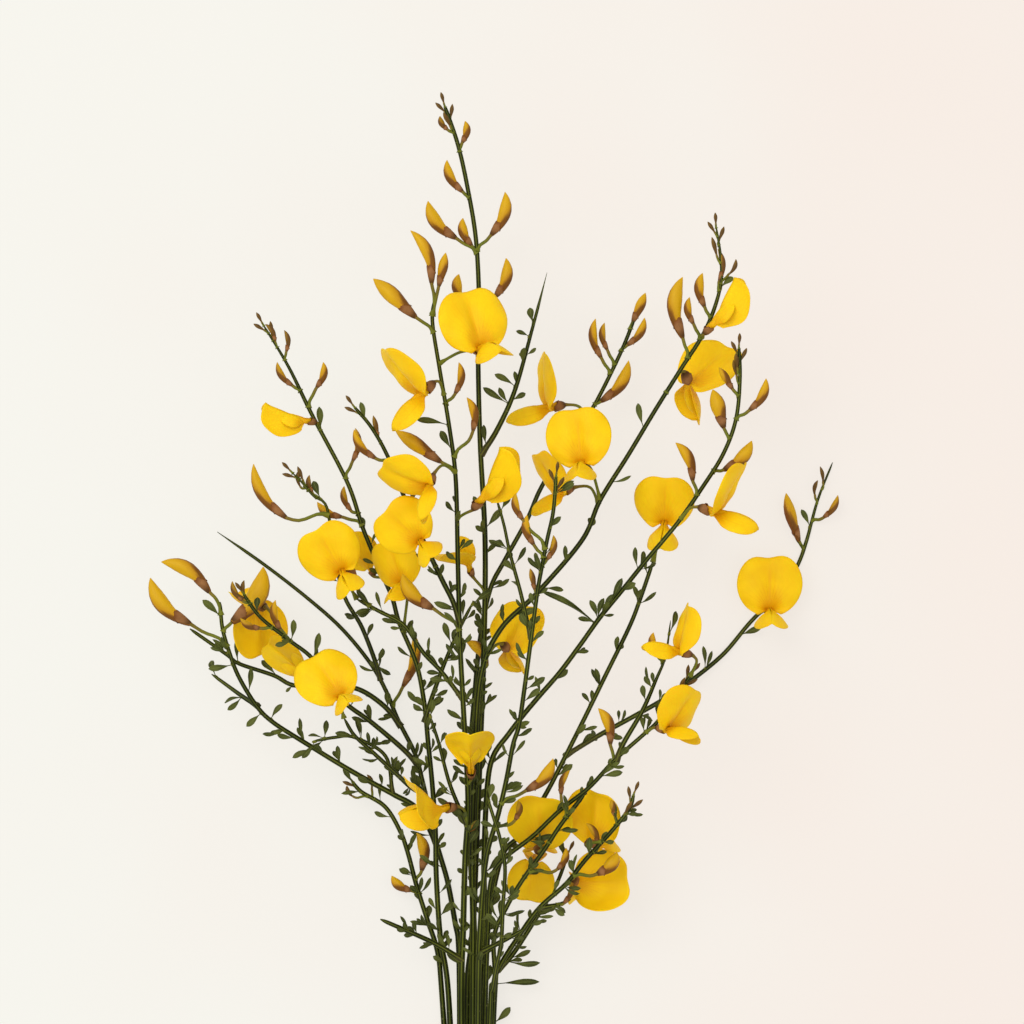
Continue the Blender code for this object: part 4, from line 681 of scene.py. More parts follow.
def wing_sheet(hand, droop):
    """A wing petal as (forward, up, side) points, its lower edge further out."""
    points = []
    along, across, outward = wing_frame(hand, droop)
    numbers = []
    for share, wide in WING_PROFILE:
        width = WING_HALF_WIDTH * wide
        middle = np.array(WING_ROOT) * (1, 1, hand) + along * WING_LENGTH * share
        middle = middle + outward * (WING_BELLY * math.sin(math.pi * share) + math.sin(WING_TENT) * width)
        numbers.append(range(len(points), len(points) + 2))
        points.append(middle - across * width)
        points.append(middle + across * width)
    return np.array(points), strips(numbers)


def keel_rings(steps, droop):
    """The keel's rings from the claw on: the middle as a (forward, up, side) point, the half height as a
    vector, and the half width."""
    along = np.array([math.cos(droop), -math.sin(droop), 0])
    lift = np.array([math.sin(droop), math.cos(droop), 0])
    straight = np.array([0.0, 1.0, 0.0])
    throat = np.array([CORE_LENGTH, 0.0, 0.0]) - 0.3 * lift
    rings = [(np.array([CLEARANCE, 0.0, 0.0]), CORE_RADIUS * straight, CORE_RADIUS),
             (throat, CORE_RADIUS * unit(lift + straight), 0.9 * CORE_RADIUS)]
    for share in steps:
        middle = throat + along * KEEL_LENGTH * share + lift * KEEL_CURVE * (share ** 2 - KEEL_DIP * share)
        swell = math.sin(math.pi * (0.2 + 0.76 * share)) ** 0.8
        rings.append((middle, KEEL_HALF_HEIGHT * swell * lift, KEEL_HALF_WIDTH * swell))
    return rings


print("points in a solid banner:", len(banner_sheet(BANNER_ROWS, 90, 1.0)[0]))

# %% One flower and its stalk
class Flower:
    """One open flower: where its calyx mouth is and which way it looks."""

    def __init__(self, shoots, row):
        (name, shoot, self.root_pixel, self.mouth_pixel, out, up, self.opening, self.size,
         self.lift, self.fold) = row
        self.name = "bloom_" + name
        self.shoot = shoots[shoot]
        self.node = self.shoot.node
        self.out = np.array(out, float)
        self.up = np.array(up, float)
        self.droop = math.radians(max(0, self.opening - WINGS_HIDDEN) * DROOP_SHARE)

    def look(self, lean):
        """Turns the flower its own way, or leaning up or down from it."""
        out = unit(self.out + np.array([0, 0, lean]))
        up = unit(self.up - out * self.up.dot(out))
        self.axes = np.array([out, up, np.cross(out, up)])

    def place(self, local):
        return self.mouth + self.size * (np.asarray(local, float) @ self.axes)

    def balls(self):
        sheets = [banner_sheet(BANNER_ROWS, self.opening, self.fold)]
        if self.opening >= WINGS_HIDDEN:
            sheets += [wing_sheet(hand, self.droop) for hand in (-1, 1)]
        found = [sheet_balls(self.place(points), triangles, 0.45, 1.5) for points, triangles in sheets]
        for middle, tall, _ in keel_rings(np.linspace(0.15, 1, 7), self.droop):
            found.append(np.append(self.place(middle), max(0.4, np.linalg.norm(tall)) * self.size)[None, :])
        return np.vstack(found)

    def foot(self):
        """The point where the stalk meets the calyx."""
        return self.place((-CALYX_LENGTH, 0, 0))

    def hang(self, root, tangent):
        """Gives the flower its stalk, as the few points that its solid has too."""
        self.stalk = stalk_points(root, tangent, self.foot(), self.axes[0], 6)[[0, 3, 5]]


def stalk_points(root, tangent, foot, out, count):
    """A stalk that leaves the stem along it and bends into the calyx."""
    reach = np.linalg.norm(foot - root)
    first = root + STALK_LEAVES * reach * tangent
    second = foot - STALK_MEETS * reach * out
    points = []
    for t in np.linspace(0, 1, count):
        back = 1 - t
        early = back ** 3 * root + 3 * t * back ** 2 * first
        points.append(early + 3 * t * t * back * second + t ** 3 * foot)
    return np.array(points)


def flower_tries(lift):
    """Height steps and leans to try: its own height and further from its shoot, then past the shoot."""
    way = -1.0 if lift < 0 else 1.0
    steps = [way * step for step in range(FLOWER_STEPS_AWAY)]
    for step in steps + [-way * step for step in range(1, FLOWER_STEPS_BACK)]:
        for lean in FLOWER_LEANS:
            yield step, lean


def stalk_balls(flower):
    """Balls along the stalk and calyx of one flower, without the stalk's root."""
    inside = flower.place((-0.8 * CALYX_LENGTH, 0, 0))
    line = np.vstack([linked(flower.stalk, 0.8)[2:], inside, flower.mouth])
    wide = CALYX_RADIUS * flower.size
    return capsule(line, [0.6] * (len(line) - 2) + [0.8 * wide, wide])


def place_flowers(shoots, space):
    """Gives each flower the first height that is clear of the rest, and its stalk."""
    flowers = []
    for row in FLOWERS:
        flower = Flower(shoots, row)
        shoot = flower.shoot
        share = shoot.nearest(on_table(flower.root_pixel))
        root = shoot.at(share)
        best = None
        for step, lean in flower_tries(flower.lift):
            flower.look(lean)
            height = root[2] + flower.lift + FLOWER_STEP * step
            flower.mouth = np.append(on_table(flower.mouth_pixel), height)
            room = space.room(flower.balls())
            if room >= CLEARANCE:
                flower.hang(root, shoot.tangent(share))
                room = min(room, space.room(stalk_balls(flower), (shoot.node,)))
            if best is None or room > best[0]:
                best = (room, flower.mouth, lean)
            if room >= CLEARANCE:
                break
        flower.look(best[2])
        flower.mouth = best[1]
        flower.hang(root, shoot.tangent(share))
        if best[0] < CLEARANCE:
            print("tight flower", flower.name, round(best[0], 2))
        space.add(flower.name, flower.balls())
        space.add(shoot.node, stalk_balls(flower))
        flowers.append(flower)
    return flowers


print("height steps and leans to try:", len(list(flower_tries(1.0))))

# %% One bud, and the leaflets
class Bud:
    """A closed bud on its stalk, curved towards its shoot."""

    def __init__(self, shoot, root, tangent, foot, tip, radius):
        self.shoot = shoot
        self.node = shoot.node
        self.radius = radius
        self.foot = foot
        self.tip = tip
        axis = tip - foot
        length = np.linalg.norm(axis)
        self.stalk = stalk_points(root, tangent, foot, unit(axis), 4)
        inward = root - foot
        inward = inward - unit(axis) * inward.dot(unit(axis))
        self.bend = -unit(inward) * BUD_BEND * length if np.linalg.norm(inward) > 0.3 else np.zeros(3)

    def at(self, share):
        return self.foot + (self.tip - self.foot) * share + self.bend * 4 * share * (1 - share)

    def balls(self):
        centre = [self.at(share) for share, _ in BUD_PROFILE]
        sizes = [self.radius * size for _, size in BUD_PROFILE]
        return np.vstack([capsule(self.stalk[1:], [0.5] * 3), capsule(centre, sizes)])


def try_bud(space, shoot, share, foot_flat, tip_flat, radius):
    """The bud at the height nearest to its shoot's that is clear of every other node, or None."""
    root = shoot.at(share)
    for offset in outward_tries(BUD_TRIES):
        foot = np.append(foot_flat, root[2] + BUD_FOOT_STEP * offset)
        tip = np.append(tip_flat, root[2] + BUD_TIP_STEP * offset)
        bud = Bud(shoot, root, shoot.tangent(share), foot, tip, radius)
        if space.room(bud.balls(), (shoot.node,)) >= CLEARANCE:
            return bud
    return None


def place_buds(shoots, space):
    buds = []
    for shoot, row in [(shoots[name], row) for name, rows in BUDS for row in rows]:
        foot = on_table(row[:2])
        near = shoot.nearest(foot)
        back = max(2.0, 0.9 * np.linalg.norm(foot - shoot.at(near)[:2])) / shoot.length
        bud = try_bud(space, shoot, max(0.02, near - back), foot, on_table(row[2:4]), row[4])
        if bud is None:
            print("no room for a bud on", shoot.name, row)
            continue
        space.add(shoot.node, bud.balls())
        buds.append(bud)
    for name, count in TIP_BUDS:
        shoot = shoots[name]
        for index in range(count):
            share = 1 - (TIP_BUD_BACK + TIP_BUD_PITCH * index) / shoot.length
            root = shoot.at(share)
            tangent = shoot.tangent(share)
            lean = TIP_BUD_LEANS[min(index, 1)]
            way, _ = shoot.way_out(share, LEAF_TURN * (index + 0.4), lean, TIP_BUD_LIFT, 0.0)
            stalk, length, radius = (least + more * index
                                     for least, more in (TIP_BUD_STALK, TIP_BUD_LENGTH, TIP_BUD_RADIUS))
            foot = root + way * stalk
            bud = Bud(shoot, root - 0.5 * tangent, tangent, foot, foot + way * length, radius)
            if space.room(bud.balls(), (shoot.node,)) >= CLEARANCE:
                space.add(shoot.node, bud.balls())
                buds.append(bud)
    return buds


def leaflet_sheet(root, along, normal, length, width):
    """A kite, widest past the middle."""
    side = unit(np.cross(along, normal))
    normal = np.cross(side, along)
    middle = root + along * length * 0.64 + normal * length * 0.1
    half = side * 0.5 * width
    return np.array([root, middle - half, middle + half, root + along * length]), [(0, 1, 2), (1, 3, 2)]


def place_leaves(shoots, space):
    """Leaflets at even steps, each at the first turn round its shoot that is clear of every other node."""
    random = np.random.default_rng(LEAF_SEED)
    leaves = []
    for name, first, last, count in LEAVES:
        shoot = shoots[name]
        turn = random.uniform(0, 2 * math.pi)
        for share in np.linspace(first, last, count):
            share = min(0.99, share + random.uniform(-0.25, 0.25) * (last - first) / count)
            length = LEAFLET_LENGTH * random.uniform(*LEAFLET_LENGTHS)
            width = LEAFLET_WIDTH * random.uniform(*LEAFLET_WIDTHS)
            lean = random.uniform(*LEAFLET_LEANS)
            turn += LEAF_TURN
            root = shoot.at(share)
            for step in outward_tries(LEAFLET_TRIES):
                tried = turn + LEAFLET_TRY_TURN * step
                along, normal = shoot.way_out(share, tried, lean, LEAFLET_LIFT, LEAFLET_ROLL)
                points, triangles = leaflet_sheet(root, along, normal, length, width)
                balls = sheet_balls(points, triangles, 0.45, 1.2)
                balls = balls[np.linalg.norm(balls[:, :3] - root, axis=1) > 1.5]
                if space.room(balls, (shoot.node,)) >= CLEARANCE:
                    space.add(shoot.node, balls)
                    leaves.append((shoot, share, root, along, normal, length, width))
                    break
    return leaves


print("turn from leaf to leaf:", round(math.degrees(LEAF_TURN), 1), "degrees")

# %% Place everything
shoots = all_shoots()
space = Space()
for shoot in shoots.values():
    space.add(shoot.node, np.column_stack([shoot.centre, shoot.radius]))
flowers = place_flowers(shoots, space)
buds = place_buds(shoots, space)
leaves = place_leaves(shoots, space)
nodes = list(dict.fromkeys(shoot.node for shoot in shoots.values()))


def on_node(node, things):
    """Those of the shoots, flowers or buds that belong to one node of the solids."""
    return [thing for thing in things if thing.node == node]


print(len(shoots), "shoots,", len(flowers), "flowers,", len(buds), "buds,", len(leaves), "leaflets")

# %% [markdown]
# ## Shader sums written as Python
# A finish is a small sum: so much of one colour where a mask is high, the rest elsewhere. Math
# nodes joined by hand are hard to read, so a small class wraps a socket and turns each
# operator into the node that does it. Colours go through Mix nodes, because a Math node would
# turn them grey.

# %% A socket that can be added, multiplied and mixed
class Wire:
    """A socket of a shader tree. Sums with it add Math nodes."""

    def __init__(self, finish, socket):
        self.finish = finish
        self.socket = socket

    def math(self, operation, *others):
        values = {number: value for number, value in enumerate((self, *others))}
        return self.finish.add("Math", values, operation=operation)

    def __add__(self, other):
        return self.math("ADD", other)

    def __sub__(self, other):
        return self.math("SUBTRACT", other)

    def __rsub__(self, other):
        return self.finish.add("Math", {0: other, 1: self}, operation="SUBTRACT")

    def __mul__(self, other):
        return self.math("MULTIPLY", other)

    __radd__ = __add__
    __rmul__ = __mul__

    def sine(self):
        return self.math("SINE")

    def size(self):
        return self.math("ABSOLUTE")

    def most(self, other):
        return self.math("MAXIMUM", other)

    def between(self, low, high):
        """0 up to the low value, 1 from the high one on, and smooth between them."""
        values = {"Value": self, "From Min": low, "From Max": high}
        return self.finish.add("MapRange", values, interpolation_type="SMOOTHSTEP")


class Finish:
    """A material that is built up from wires. Constants go straight on the shader's own sockets."""

    def __init__(self, name, **constants):
        self.material = bpy.data.materials.new(name)
        self.material.use_nodes = True
        self.tree = self.material.node_tree
        self.shader = self.tree.nodes["Principled BSDF"]
        for socket, value in constants.items():
            self.shader.inputs[socket.replace("_", " ")].default_value = value

    def plug(self, value, socket):
        if isinstance(value, Wire):
            self.tree.links.new(value.socket, socket)
        else:
            socket.default_value = value

    def add(self, kind, values=None, output=0, **settings):
        """Any node: its settings first, then the values or links of its sockets."""
        node = self.tree.nodes.new("ShaderNode" + kind)
        for name, setting in settings.items():
            setattr(node, name, setting)
        for name, value in (values or {}).items():
            self.plug(value, node.inputs[name])
        return Wire(self, node.outputs[output])

    def mix(self, share, first, second):
        """From the first colour at share 0 to the second at share 1. A tuple is a colour on a screen."""
        first, second = (shade(*tone) if isinstance(tone, tuple) else tone for tone in (first, second))
        return self.add("Mix", {0: share, 6: first, 7: second}, output=2, data_type="RGBA")

    def place(self):
        """The object's own coordinates."""
        return self.add("TexCoord", output="Object")

    def noise(self, scale, detail=3.0, vector=None):
        return self.add("TexNoise", {"Vector": vector or self.place(), "Scale": scale, "Detail": detail})

    def attribute(self, name):
        return self.add("Attribute", output="Fac", attribute_name=name)

    def grain(self, around, along):
        """Coordinates of a tube's skin, wound off: so many steps round it and so many per metre along it."""
        skin = self.add("Attribute", output="Vector", attribute_name="skin")
        skin = self.add("VectorMath", {0: skin, 1: (around, around, 0.0)}, operation="MULTIPLY")
        run = self.add("CombineXYZ", {"Z": self.attribute("run") * along})
        return self.add("VectorMath", {0: skin, 1: run}, operation="ADD")

    def bump(self, height, strength, distance):
        values = {"Height": height, "Strength": strength, "Distance": distance}
        self.plug(self.add("Bump", values), self.shader.inputs["Normal"])

    def colour(self, value):
        self.plug(value, self.shader.inputs["Base Color"])

    def roughness(self, value):
        self.plug(value, self.shader.inputs["Roughness"])


def shade(red, green, blue):
    """A colour as it is picked on a screen, from 0 to 255, turned into the light that a shader counts in."""
    light = [value / 255 for value in (red, green, blue)]
    return tuple(v / 12.92 if v <= 0.04045 else ((v + 0.055) / 1.055) ** 2.4 for v in light) + (1.0,)


print("a leaf green as light:", [round(v, 3) for v in shade(70, 95, 40)])

# %% [markdown]
# ## Bark of the green switches
# A broom switch stays green: it does the work that the tiny leaves can't. It has five
# ridges, fine lines along it and a few pale specks. The grooves between the ridges get painted
# shade and the ridges a painted highlight. The tree that makes the tubes stores how far each point
# stands on a ridge, and the finish reads it, so the painted shade and highlight follow every bend.

# %% Finish of the stems
def stem_finish():
    made = Finish("stem_bark", Roughness=0.5, Specular_IOR_Level=0.16)
    ridge = made.attribute("ridge").between(-0.2, 1.0)
    lines = made.noise(1.0, vector=made.grain(5.0, 110.0))
    patches = made.noise(38.0, detail=2.0)
    # Painted shade in the grooves and a painted highlight on the ridges: the ridge value mixes the dark
    # groove colour into the pale crest colour.
    groove_shade = made.mix(patches.between(0.3, 0.7), (18, 23, 1), (36, 42, 4))
    crest_highlight = made.mix(patches.between(0.35, 0.65), (80, 92, 16), (114, 122, 34))
    green = made.mix(ridge * (0.45 + 0.5 * lines), groove_shade, crest_highlight)
    speck = made.noise(900.0, detail=1.0).between(0.68, 0.78)
    green = made.mix(speck * 0.3, green, (140, 138, 84))
    woody = 1 - made.attribute("along").between(0.0, 0.16)
    green = made.mix(woody * patches.between(0.25, 0.75) * 0.45, green, (92, 82, 46))
    made.colour(green)
    made.roughness(0.42 + 0.25 * lines)
    made.bump(lines * 0.6 + speck, 0.35, 0.00008)
    return made.material


STEM_FINISH = stem_finish()
print("nodes in the finish of the stems:", len(STEM_FINISH.node_tree.nodes))

# %% [markdown]
# ## Stalks and calyces
# Both are green in the shade and brown in the sun. One flat colour would look like plastic, so
# a fine noise mixes two shades, and a second pair takes over further along the piece. Each
# mesh carries that share of its length as a value.

# %% Finish of the stalks and calyces
def stalk_finish():
    """Thin stalks, green below and browner towards the flower."""
    made = Finish("stalk_skin", Roughness=0.55, Specular_IOR_Level=0.15)
    warm = made.attribute("along").between(0.35, 1.0)
    patches = made.noise(240.0)
    green = made.mix(patches, (70, 84, 16), (124, 126, 36))
    brown = made.mix(patches, (98, 78, 22), (142, 106, 44))
    made.colour(made.mix(warm * 0.75, green, brown))
    made.bump(patches, 0.2, 0.00005)
    return made.material


def calyx_finish():
    """The small bell that holds the petals: rosy brown, darker at its foot and at its rim."""
    made = Finish("calyx_skin", Roughness=0.6, Specular_IOR_Level=0.15)
    along = made.attribute("along")
    patches = made.noise(520.0)
    rosy = made.mix(patches, (112, 72, 36), (158, 112, 68))
    foot = made.mix(patches, (62, 38, 12), (92, 60, 22))
    rim = made.mix(patches, (92, 50, 16), (132, 78, 30))
    skin = made.mix(along.between(0.08, 0.6), foot, rosy)
    made.colour(made.mix(along.between(0.74, 1.0), skin, rim))
    made.bump(patches, 0.3, 0.00006)
    return made.material


STALK_FINISH = stalk_finish()
CALYX_FINISH = calyx_finish()
print("nodes in the finish of the calyces:", len(CALYX_FINISH.node_tree.nodes))

# %% [markdown]
# ## Leaflets
# A leaflet is dull green with a paler rib and edge. A painted picture could show the veins, but
# sums on two values, along the blade and across it, fit every leaflet at any size.

# %% Finish of the leaflets
def leaf_finish():
    """Small soft leaves: mid green in patches, paler along the rib, the veins and the edge."""
    made = Finish("leaflet_skin", Roughness=0.55, Specular_IOR_Level=0.15)
    across = (made.attribute("across") * 2.0 - 1.0).size()
    along = made.attribute("along")
    patches = made.noise(150.0)
    green = made.mix(patches.between(0.25, 0.75), (44, 50, 14), (88, 94, 38))
    rib = 1 - across.between(0.03, 0.16)
    edge = across.between(0.8, 1.0)
    green = made.mix((rib * 0.5).most(edge * 0.35), green, (108, 120, 52))
    side_veins = (along * 46.0 + across * 9.0).sine().between(0.75, 1.0) * (1 - edge)
    green = made.mix(side_veins * 0.22, green, (98, 110, 46))
    made.colour(green)
    made.bump(rib * -0.6 + patches * 0.4 + side_veins * 0.3, 0.35, 0.0001)
    return made.material


LEAF_FINISH = leaf_finish()
print("nodes in the finish of the leaflets:", len(LEAF_FINISH.node_tree.nodes))

# %% [markdown]
# ## Buds from brown to gold
# A young bud is brown all over. As it swells it turns gold, and only its back stays brown. One
# number for each bud, its ripeness, moves the border of the brown, so one finish does for all.

# %% Finish of the buds
def bud_finish():
    """Closed buds: gold, with brown that climbs the back from the foot. Small ones are brown all over."""
    made = Finish("bud_skin", Roughness=0.5, Specular_IOR_Level=0.2)
    back = made.attribute("ridge")
    along = made.attribute("along")
    ripe = made.attribute("ripe")
    streaks = made.noise(1.0, detail=4.0, vector=made.grain(2.6, 260.0))
    gold = made.mix(streaks, (188, 142, 3), (212, 168, 6))
    amber = made.mix(streaks, (164, 110, 3), (188, 132, 5))
    brown = made.mix(streaks, (70, 36, 4), (124, 74, 12))
    young = made.mix(streaks, (62, 46, 14), (104, 76, 26))
    climb = ripe * -0.2 + 0.72 + back * 0.32
    rise = climb - along + (streaks - 0.5) * 0.32
    skin = made.mix(rise.between(-0.35, 0.05) * 0.75, gold, amber)
    skin = made.mix(rise.between(-0.09, 0.13) * 0.92, skin, brown)
    edge = back.between(0.8, 1.0) * (1 - along.between(0.7, 0.92))
    skin = made.mix(edge * 0.75, skin, (112, 60, 16))
    made.colour(made.mix((1 - ripe.between(0.0, 0.8)) * 0.9, skin, young))
    made.bump(streaks, 0.25, 0.00008)
    return made.material


BUD_FINISH = bud_finish()
print("nodes in the finish of the buds:", len(BUD_FINISH.node_tree.nodes))

# %% [markdown]
# ## Yellow petals
# The petals are an almost even yellow. Faint orange veins at the foot of the banner, painted shade
# at the base and in the crease, and a little light that sinks into the petal keep them from looking flat.

# %% Finish of the petals
def petal_finish():
    """Bright yellow with painted shade at the base and in the crease, and fine veins that fan out from the
    claw.
    """
    made = Finish("petal_skin", Roughness=0.48, Specular_IOR_Level=0.15, Subsurface_Weight=0.12,
                  Subsurface_Scale=0.0012)
    across = made.attribute("across")
    along = made.attribute("along")
    middle = (across * 2.0 - 1.0).size()
    cloud = made.noise(120.0)
    grain = made.noise(900.0, detail=2.0)
    yellow = made.mix(cloud.between(0.25, 0.75), (233, 186, 3), (241, 200, 7))
    # Painted shade: a deeper, more orange yellow towards the base of each petal.
    shaded_yellow = made.mix(cloud, (212, 146, 2), (226, 166, 3))
    base_shade = 1 - along.between(0.1, 0.5)
    skin = made.mix(base_shade * 0.75, yellow, shaded_yellow)
    veins = (across * 150.0 + cloud * 6.0).sine().between(0.5, 1.0)
    broken = grain.between(0.4, 0.6)
    faint = veins * broken * (1 - along.between(0.15, 0.5)) * 0.42
    skin = made.mix(faint, skin, (196, 118, 6))
    fine = veins * (1 - along.between(0.45, 0.9)) * 0.07
    skin = made.mix(fine, skin, (214, 146, 8))
    # Painted shade down the middle crease of each petal.
    crease = (1 - middle.between(0.0, 0.06)) * (1 - along.between(0.5, 0.95))
    skin = made.mix(crease * 0.3, skin, (216, 146, 8))
    made.colour(skin)
    made.roughness(0.46 + 0.2 * cloud)
    made.bump(veins * 0.12 + grain * 0.35 + cloud * 2.2, 0.4, 0.00016)
    return made.material


PETAL_FINISH = petal_finish()
print("nodes in the finish of the petals:", len(PETAL_FINISH.node_tree.nodes))

# %% [markdown]
# ## Pith and wood
# A cut switch shows rings. Its disc carries how far each point lies from the middle, and the
# finish turns that number into pith, wood and skin.

# %% Finish of the cut ends
def pith_finish():
    """A fresh cut: white pith, a pale green ring of wood, and the dark skin round it."""
    made = Finish("cut_pith", Roughness=0.7)
    out = made.attribute("along")
    grain = made.noise(2600.0)
    pith = made.mix(grain, (226, 220, 190), (242, 238, 214))
    wood = made.mix(grain, (176, 180, 116), (200, 198, 140))
    cut = made.mix(out.between(0.3, 0.42), pith, wood)
    made.colour(made.mix(out.between(0.84, 0.92), cut, (62, 78, 36)))
    made.bump(grain, 0.4, 0.00008)
    return made.material


PITH_FINISH = pith_finish()
print("finishes:", [made.name for made in bpy.data.materials if made.name.endswith(("skin", "bark", "pith"))])

# %% [markdown]
# ## Meshes from points
# Every piece starts as a handful of numbers. One helper turns points, edges and faces into an
# object and stores the values that the finishes read, such as how far along a petal a point is.

# %% From numbers to an object
def plain_object(name, points, edges=(), faces=(), values=None):
    """An object from points in millimetres, with named numbers and named directions on its points."""
    mesh = bpy.data.meshes.new(name)
    mesh.from_pydata((np.asarray(points, float) * MM).tolist(), list(edges), list(faces))
    for label, numbers in (values or {}).items():
        numbers = np.asarray(numbers, np.float32)
        kind, field = ("FLOAT", "value") if numbers.ndim == 1 else ("FLOAT_VECTOR", "vector")
        mesh.attributes.new(label, kind, "POINT").data.foreach_set(field, numbers.ravel())
    made = bpy.data.objects.new(name, mesh)
    bpy.context.scene.collection.objects.link(made)
    return made


def bake(made, group, values):
    """Turns an object into a plain, smooth mesh by a Geometry Nodes tree, with the tree's inputs by name."""
    modifier = made.modifiers.new(group.name, "NODES")
    modifier.node_group = group
    for item in group.interface.items_tree:
        if item.in_out == "INPUT" and item.name in values:
            modifier[item.identifier] = values[item.name]
    graph = bpy.context.evaluated_depsgraph_get()
    mesh = bpy.data.meshes.new_from_object(made.evaluated_get(graph))
    made.modifiers.remove(modifier)
    mesh.name = made.name
    old = made.data
    made.data = mesh
    bpy.data.meshes.remove(old)
    mesh.shade_smooth()


def dress(made, replaced):
    """Makes a piece ride with the bunch, in place of its solid, which it hides."""
    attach(made, "root")
    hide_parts(replaced)


# %% [markdown]
# ## A tube that follows lines
# Stems, stalks and buds are all tubes along a line, with a width that changes on the way. One
# Geometry Nodes tree makes them all. Its profile is a circle whose points are pushed out and
# in again a few times on the way round: five times for a stem, never for a stalk, and once for
# a bud, which gets a groove where its petal edges meet. The value of that wave is stored on the
# profile, and the tube carries it along, so the finishes know the ridges from the grooves.

# %% A helper for building trees
class Grower:
    """A Geometry Nodes tree under construction."""

    def __init__(self, name, inputs):
        self.tree = bpy.data.node_groups.new(name, "GeometryNodeTree")
        self.tree.interface.new_socket("Geometry", in_out="INPUT", socket_type="NodeSocketGeometry")
        for label, (kind, value) in inputs.items():
            socket = self.tree.interface.new_socket(label, in_out="INPUT", socket_type="NodeSocket" + kind)
            if value is not None:
                socket.default_value = value
        self.tree.interface.new_socket("Finish", in_out="INPUT", socket_type="NodeSocketMaterial")
        self.tree.interface.new_socket("Geometry", in_out="OUTPUT", socket_type="NodeSocketGeometry")
        self.inputs = self.tree.nodes.new("NodeGroupInput").outputs

    def add(self, kind, values=None, **settings):
        """Any node: its settings first, then the values or links of its sockets."""
        node = self.tree.nodes.new(kind if "Node" in kind else "GeometryNode" + kind)
        for name, setting in settings.items():
            setattr(node, name, setting)
        for name, value in (values or {}).items():
            if isinstance(value, bpy.types.NodeSocket):
                self.tree.links.new(value, node.inputs[name])
            else:
                node.inputs[name].default_value = value
        return node.outputs

    def maths(self, operation, first, second=0.0):
        return self.add("ShaderNodeMath", {0: first, 1: second}, operation=operation)[0]

    def stored(self, name, kind="FLOAT"):
        return self.add("InputNamedAttribute", {"Name": name}, data_type=kind)[0]

    def store(self, geometry, name, value, kind="FLOAT"):
        values = {"Geometry": geometry, "Name": name, "Value": value}
        return self.add("StoreNamedAttribute", values, data_type=kind, domain="POINT")[0]

    def end(self, geometry):
        """Realises the copies, gives them their finish and ends the tree."""
        whole = self.add("RealizeInstances", {"Geometry": geometry})[0]
        values = {"Geometry": whole, "Material": self.inputs["Finish"]}
        finished = self.add("SetMaterial", values)[0]
        self.tree.links.new(finished, self.tree.nodes.new("NodeGroupOutput").inputs[0])
        return self.tree


# %% The tube tree
def tube_tree():
    grow = Grower("tube_along_lines", {"Sides": ("Int", 20), "Ridges": ("Float", 5.0),
                                       "Depth": ("Float", 0.1), "Flatness": ("Float", 1.0)})
    given = grow.inputs
    line = grow.add("MeshToCurve", {"Mesh": given["Geometry"]})[0]
    facing = grow.stored("facing", "FLOAT_VECTOR")
    line = grow.add("SetCurveNormal", {"Curve": line, "Normal": facing}, mode="FREE")[0]
    circle = grow.add("CurvePrimitiveCircle", {"Resolution": given["Sides"], "Radius": 1.0})[0]
    count = grow.add("InputIndex")[0]
    turn = grow.maths("MULTIPLY", grow.maths("DIVIDE", count, given["Sides"]), 2 * math.pi)
    wave = grow.maths("COSINE", grow.maths("MULTIPLY", turn, given["Ridges"]))
    circle = grow.store(circle, "ridge", wave)
    spot = grow.add("InputPosition")[0]
    circle = grow.store(circle, "skin", spot, "FLOAT_VECTOR")
    size = grow.maths("ADD", grow.maths("MULTIPLY", wave, given["Depth"]), 1.0)
    pushed = grow.add("ShaderNodeVectorMath", {0: spot, "Scale": size}, operation="SCALE")[0]
    flat = grow.add("ShaderNodeCombineXYZ", {"X": 1.0, "Y": given["Flatness"], "Z": 1.0})[0]
    pushed = grow.add("ShaderNodeVectorMath", {0: pushed, 1: flat}, operation="MULTIPLY")[0]
    profile = grow.add("SetPosition", {"Geometry": circle, "Position": pushed})[0]
    tube = grow.add("CurveToMesh", {
        "Curve": line, "Profile Curve": profile, "Scale": grow.stored("girth"), "Fill Caps": True})[0]
    return grow.end(tube)


TUBES = tube_tree()

# How much further along its own grain each line starts, for each point before it
GRAIN_SHIFT = 0.1


def square_to(direction, tangent):
    """The direction without its part along the tangent, or another one where little is left."""
    for tried in (direction, (1.0, 0.3, 0.0), (0.0, 1.0, 0.3)):
        across = np.asarray(tried, float) - tangent * np.dot(tried, tangent)
        if np.linalg.norm(across) > 0.25:
            return unit(across)
    return unit(across)


class Lines:
    """Lines that become tubes: points with their width, and the direction that the profile faces."""

    def __init__(self):
        self.points, self.edges, self.girth, self.facing = [], [], [], []
        self.along, self.run, self.ripe = [], [], []

    def add(self, points, girth, facing, ripe=1.0):
        start = len(self.points)
        count = len(points)
        points = np.asarray(points, float)
        self.points.extend(points)
        self.edges.extend((start + step, start + step + 1) for step in range(count - 1))
        self.girth.extend(np.asarray(girth, float) * MM)
        for tangent in np.gradient(points, axis=0):
            self.facing.append(square_to(facing, unit(tangent)))
        self.along.extend(np.linspace(0, 1, count))
        self.run.extend(run_lengths(points) * MM + GRAIN_SHIFT * len(self.points) * MM)
        self.ripe.extend([ripe] * count)

    def grow(self, name, finish, **inputs):
        values = {"girth": self.girth, "along": self.along, "run": self.run, "ripe": self.ripe,
                  "facing": self.facing}
        made = plain_object(name, self.points, self.edges, values=values)
        bake(made, TUBES, {"Finish": finish, **inputs})
        return made


print("tube tree:", len(TUBES.nodes), "nodes")

# %% [markdown]
# ## Stems
# On the plant a side shoot leaves its stem through a small swelling, and a switch ends in a
# fine point. Both are changes of width along the line: a little more at the root of a shoot,
# and a quick taper at its end. The five-sided solids become ridged tubes here.

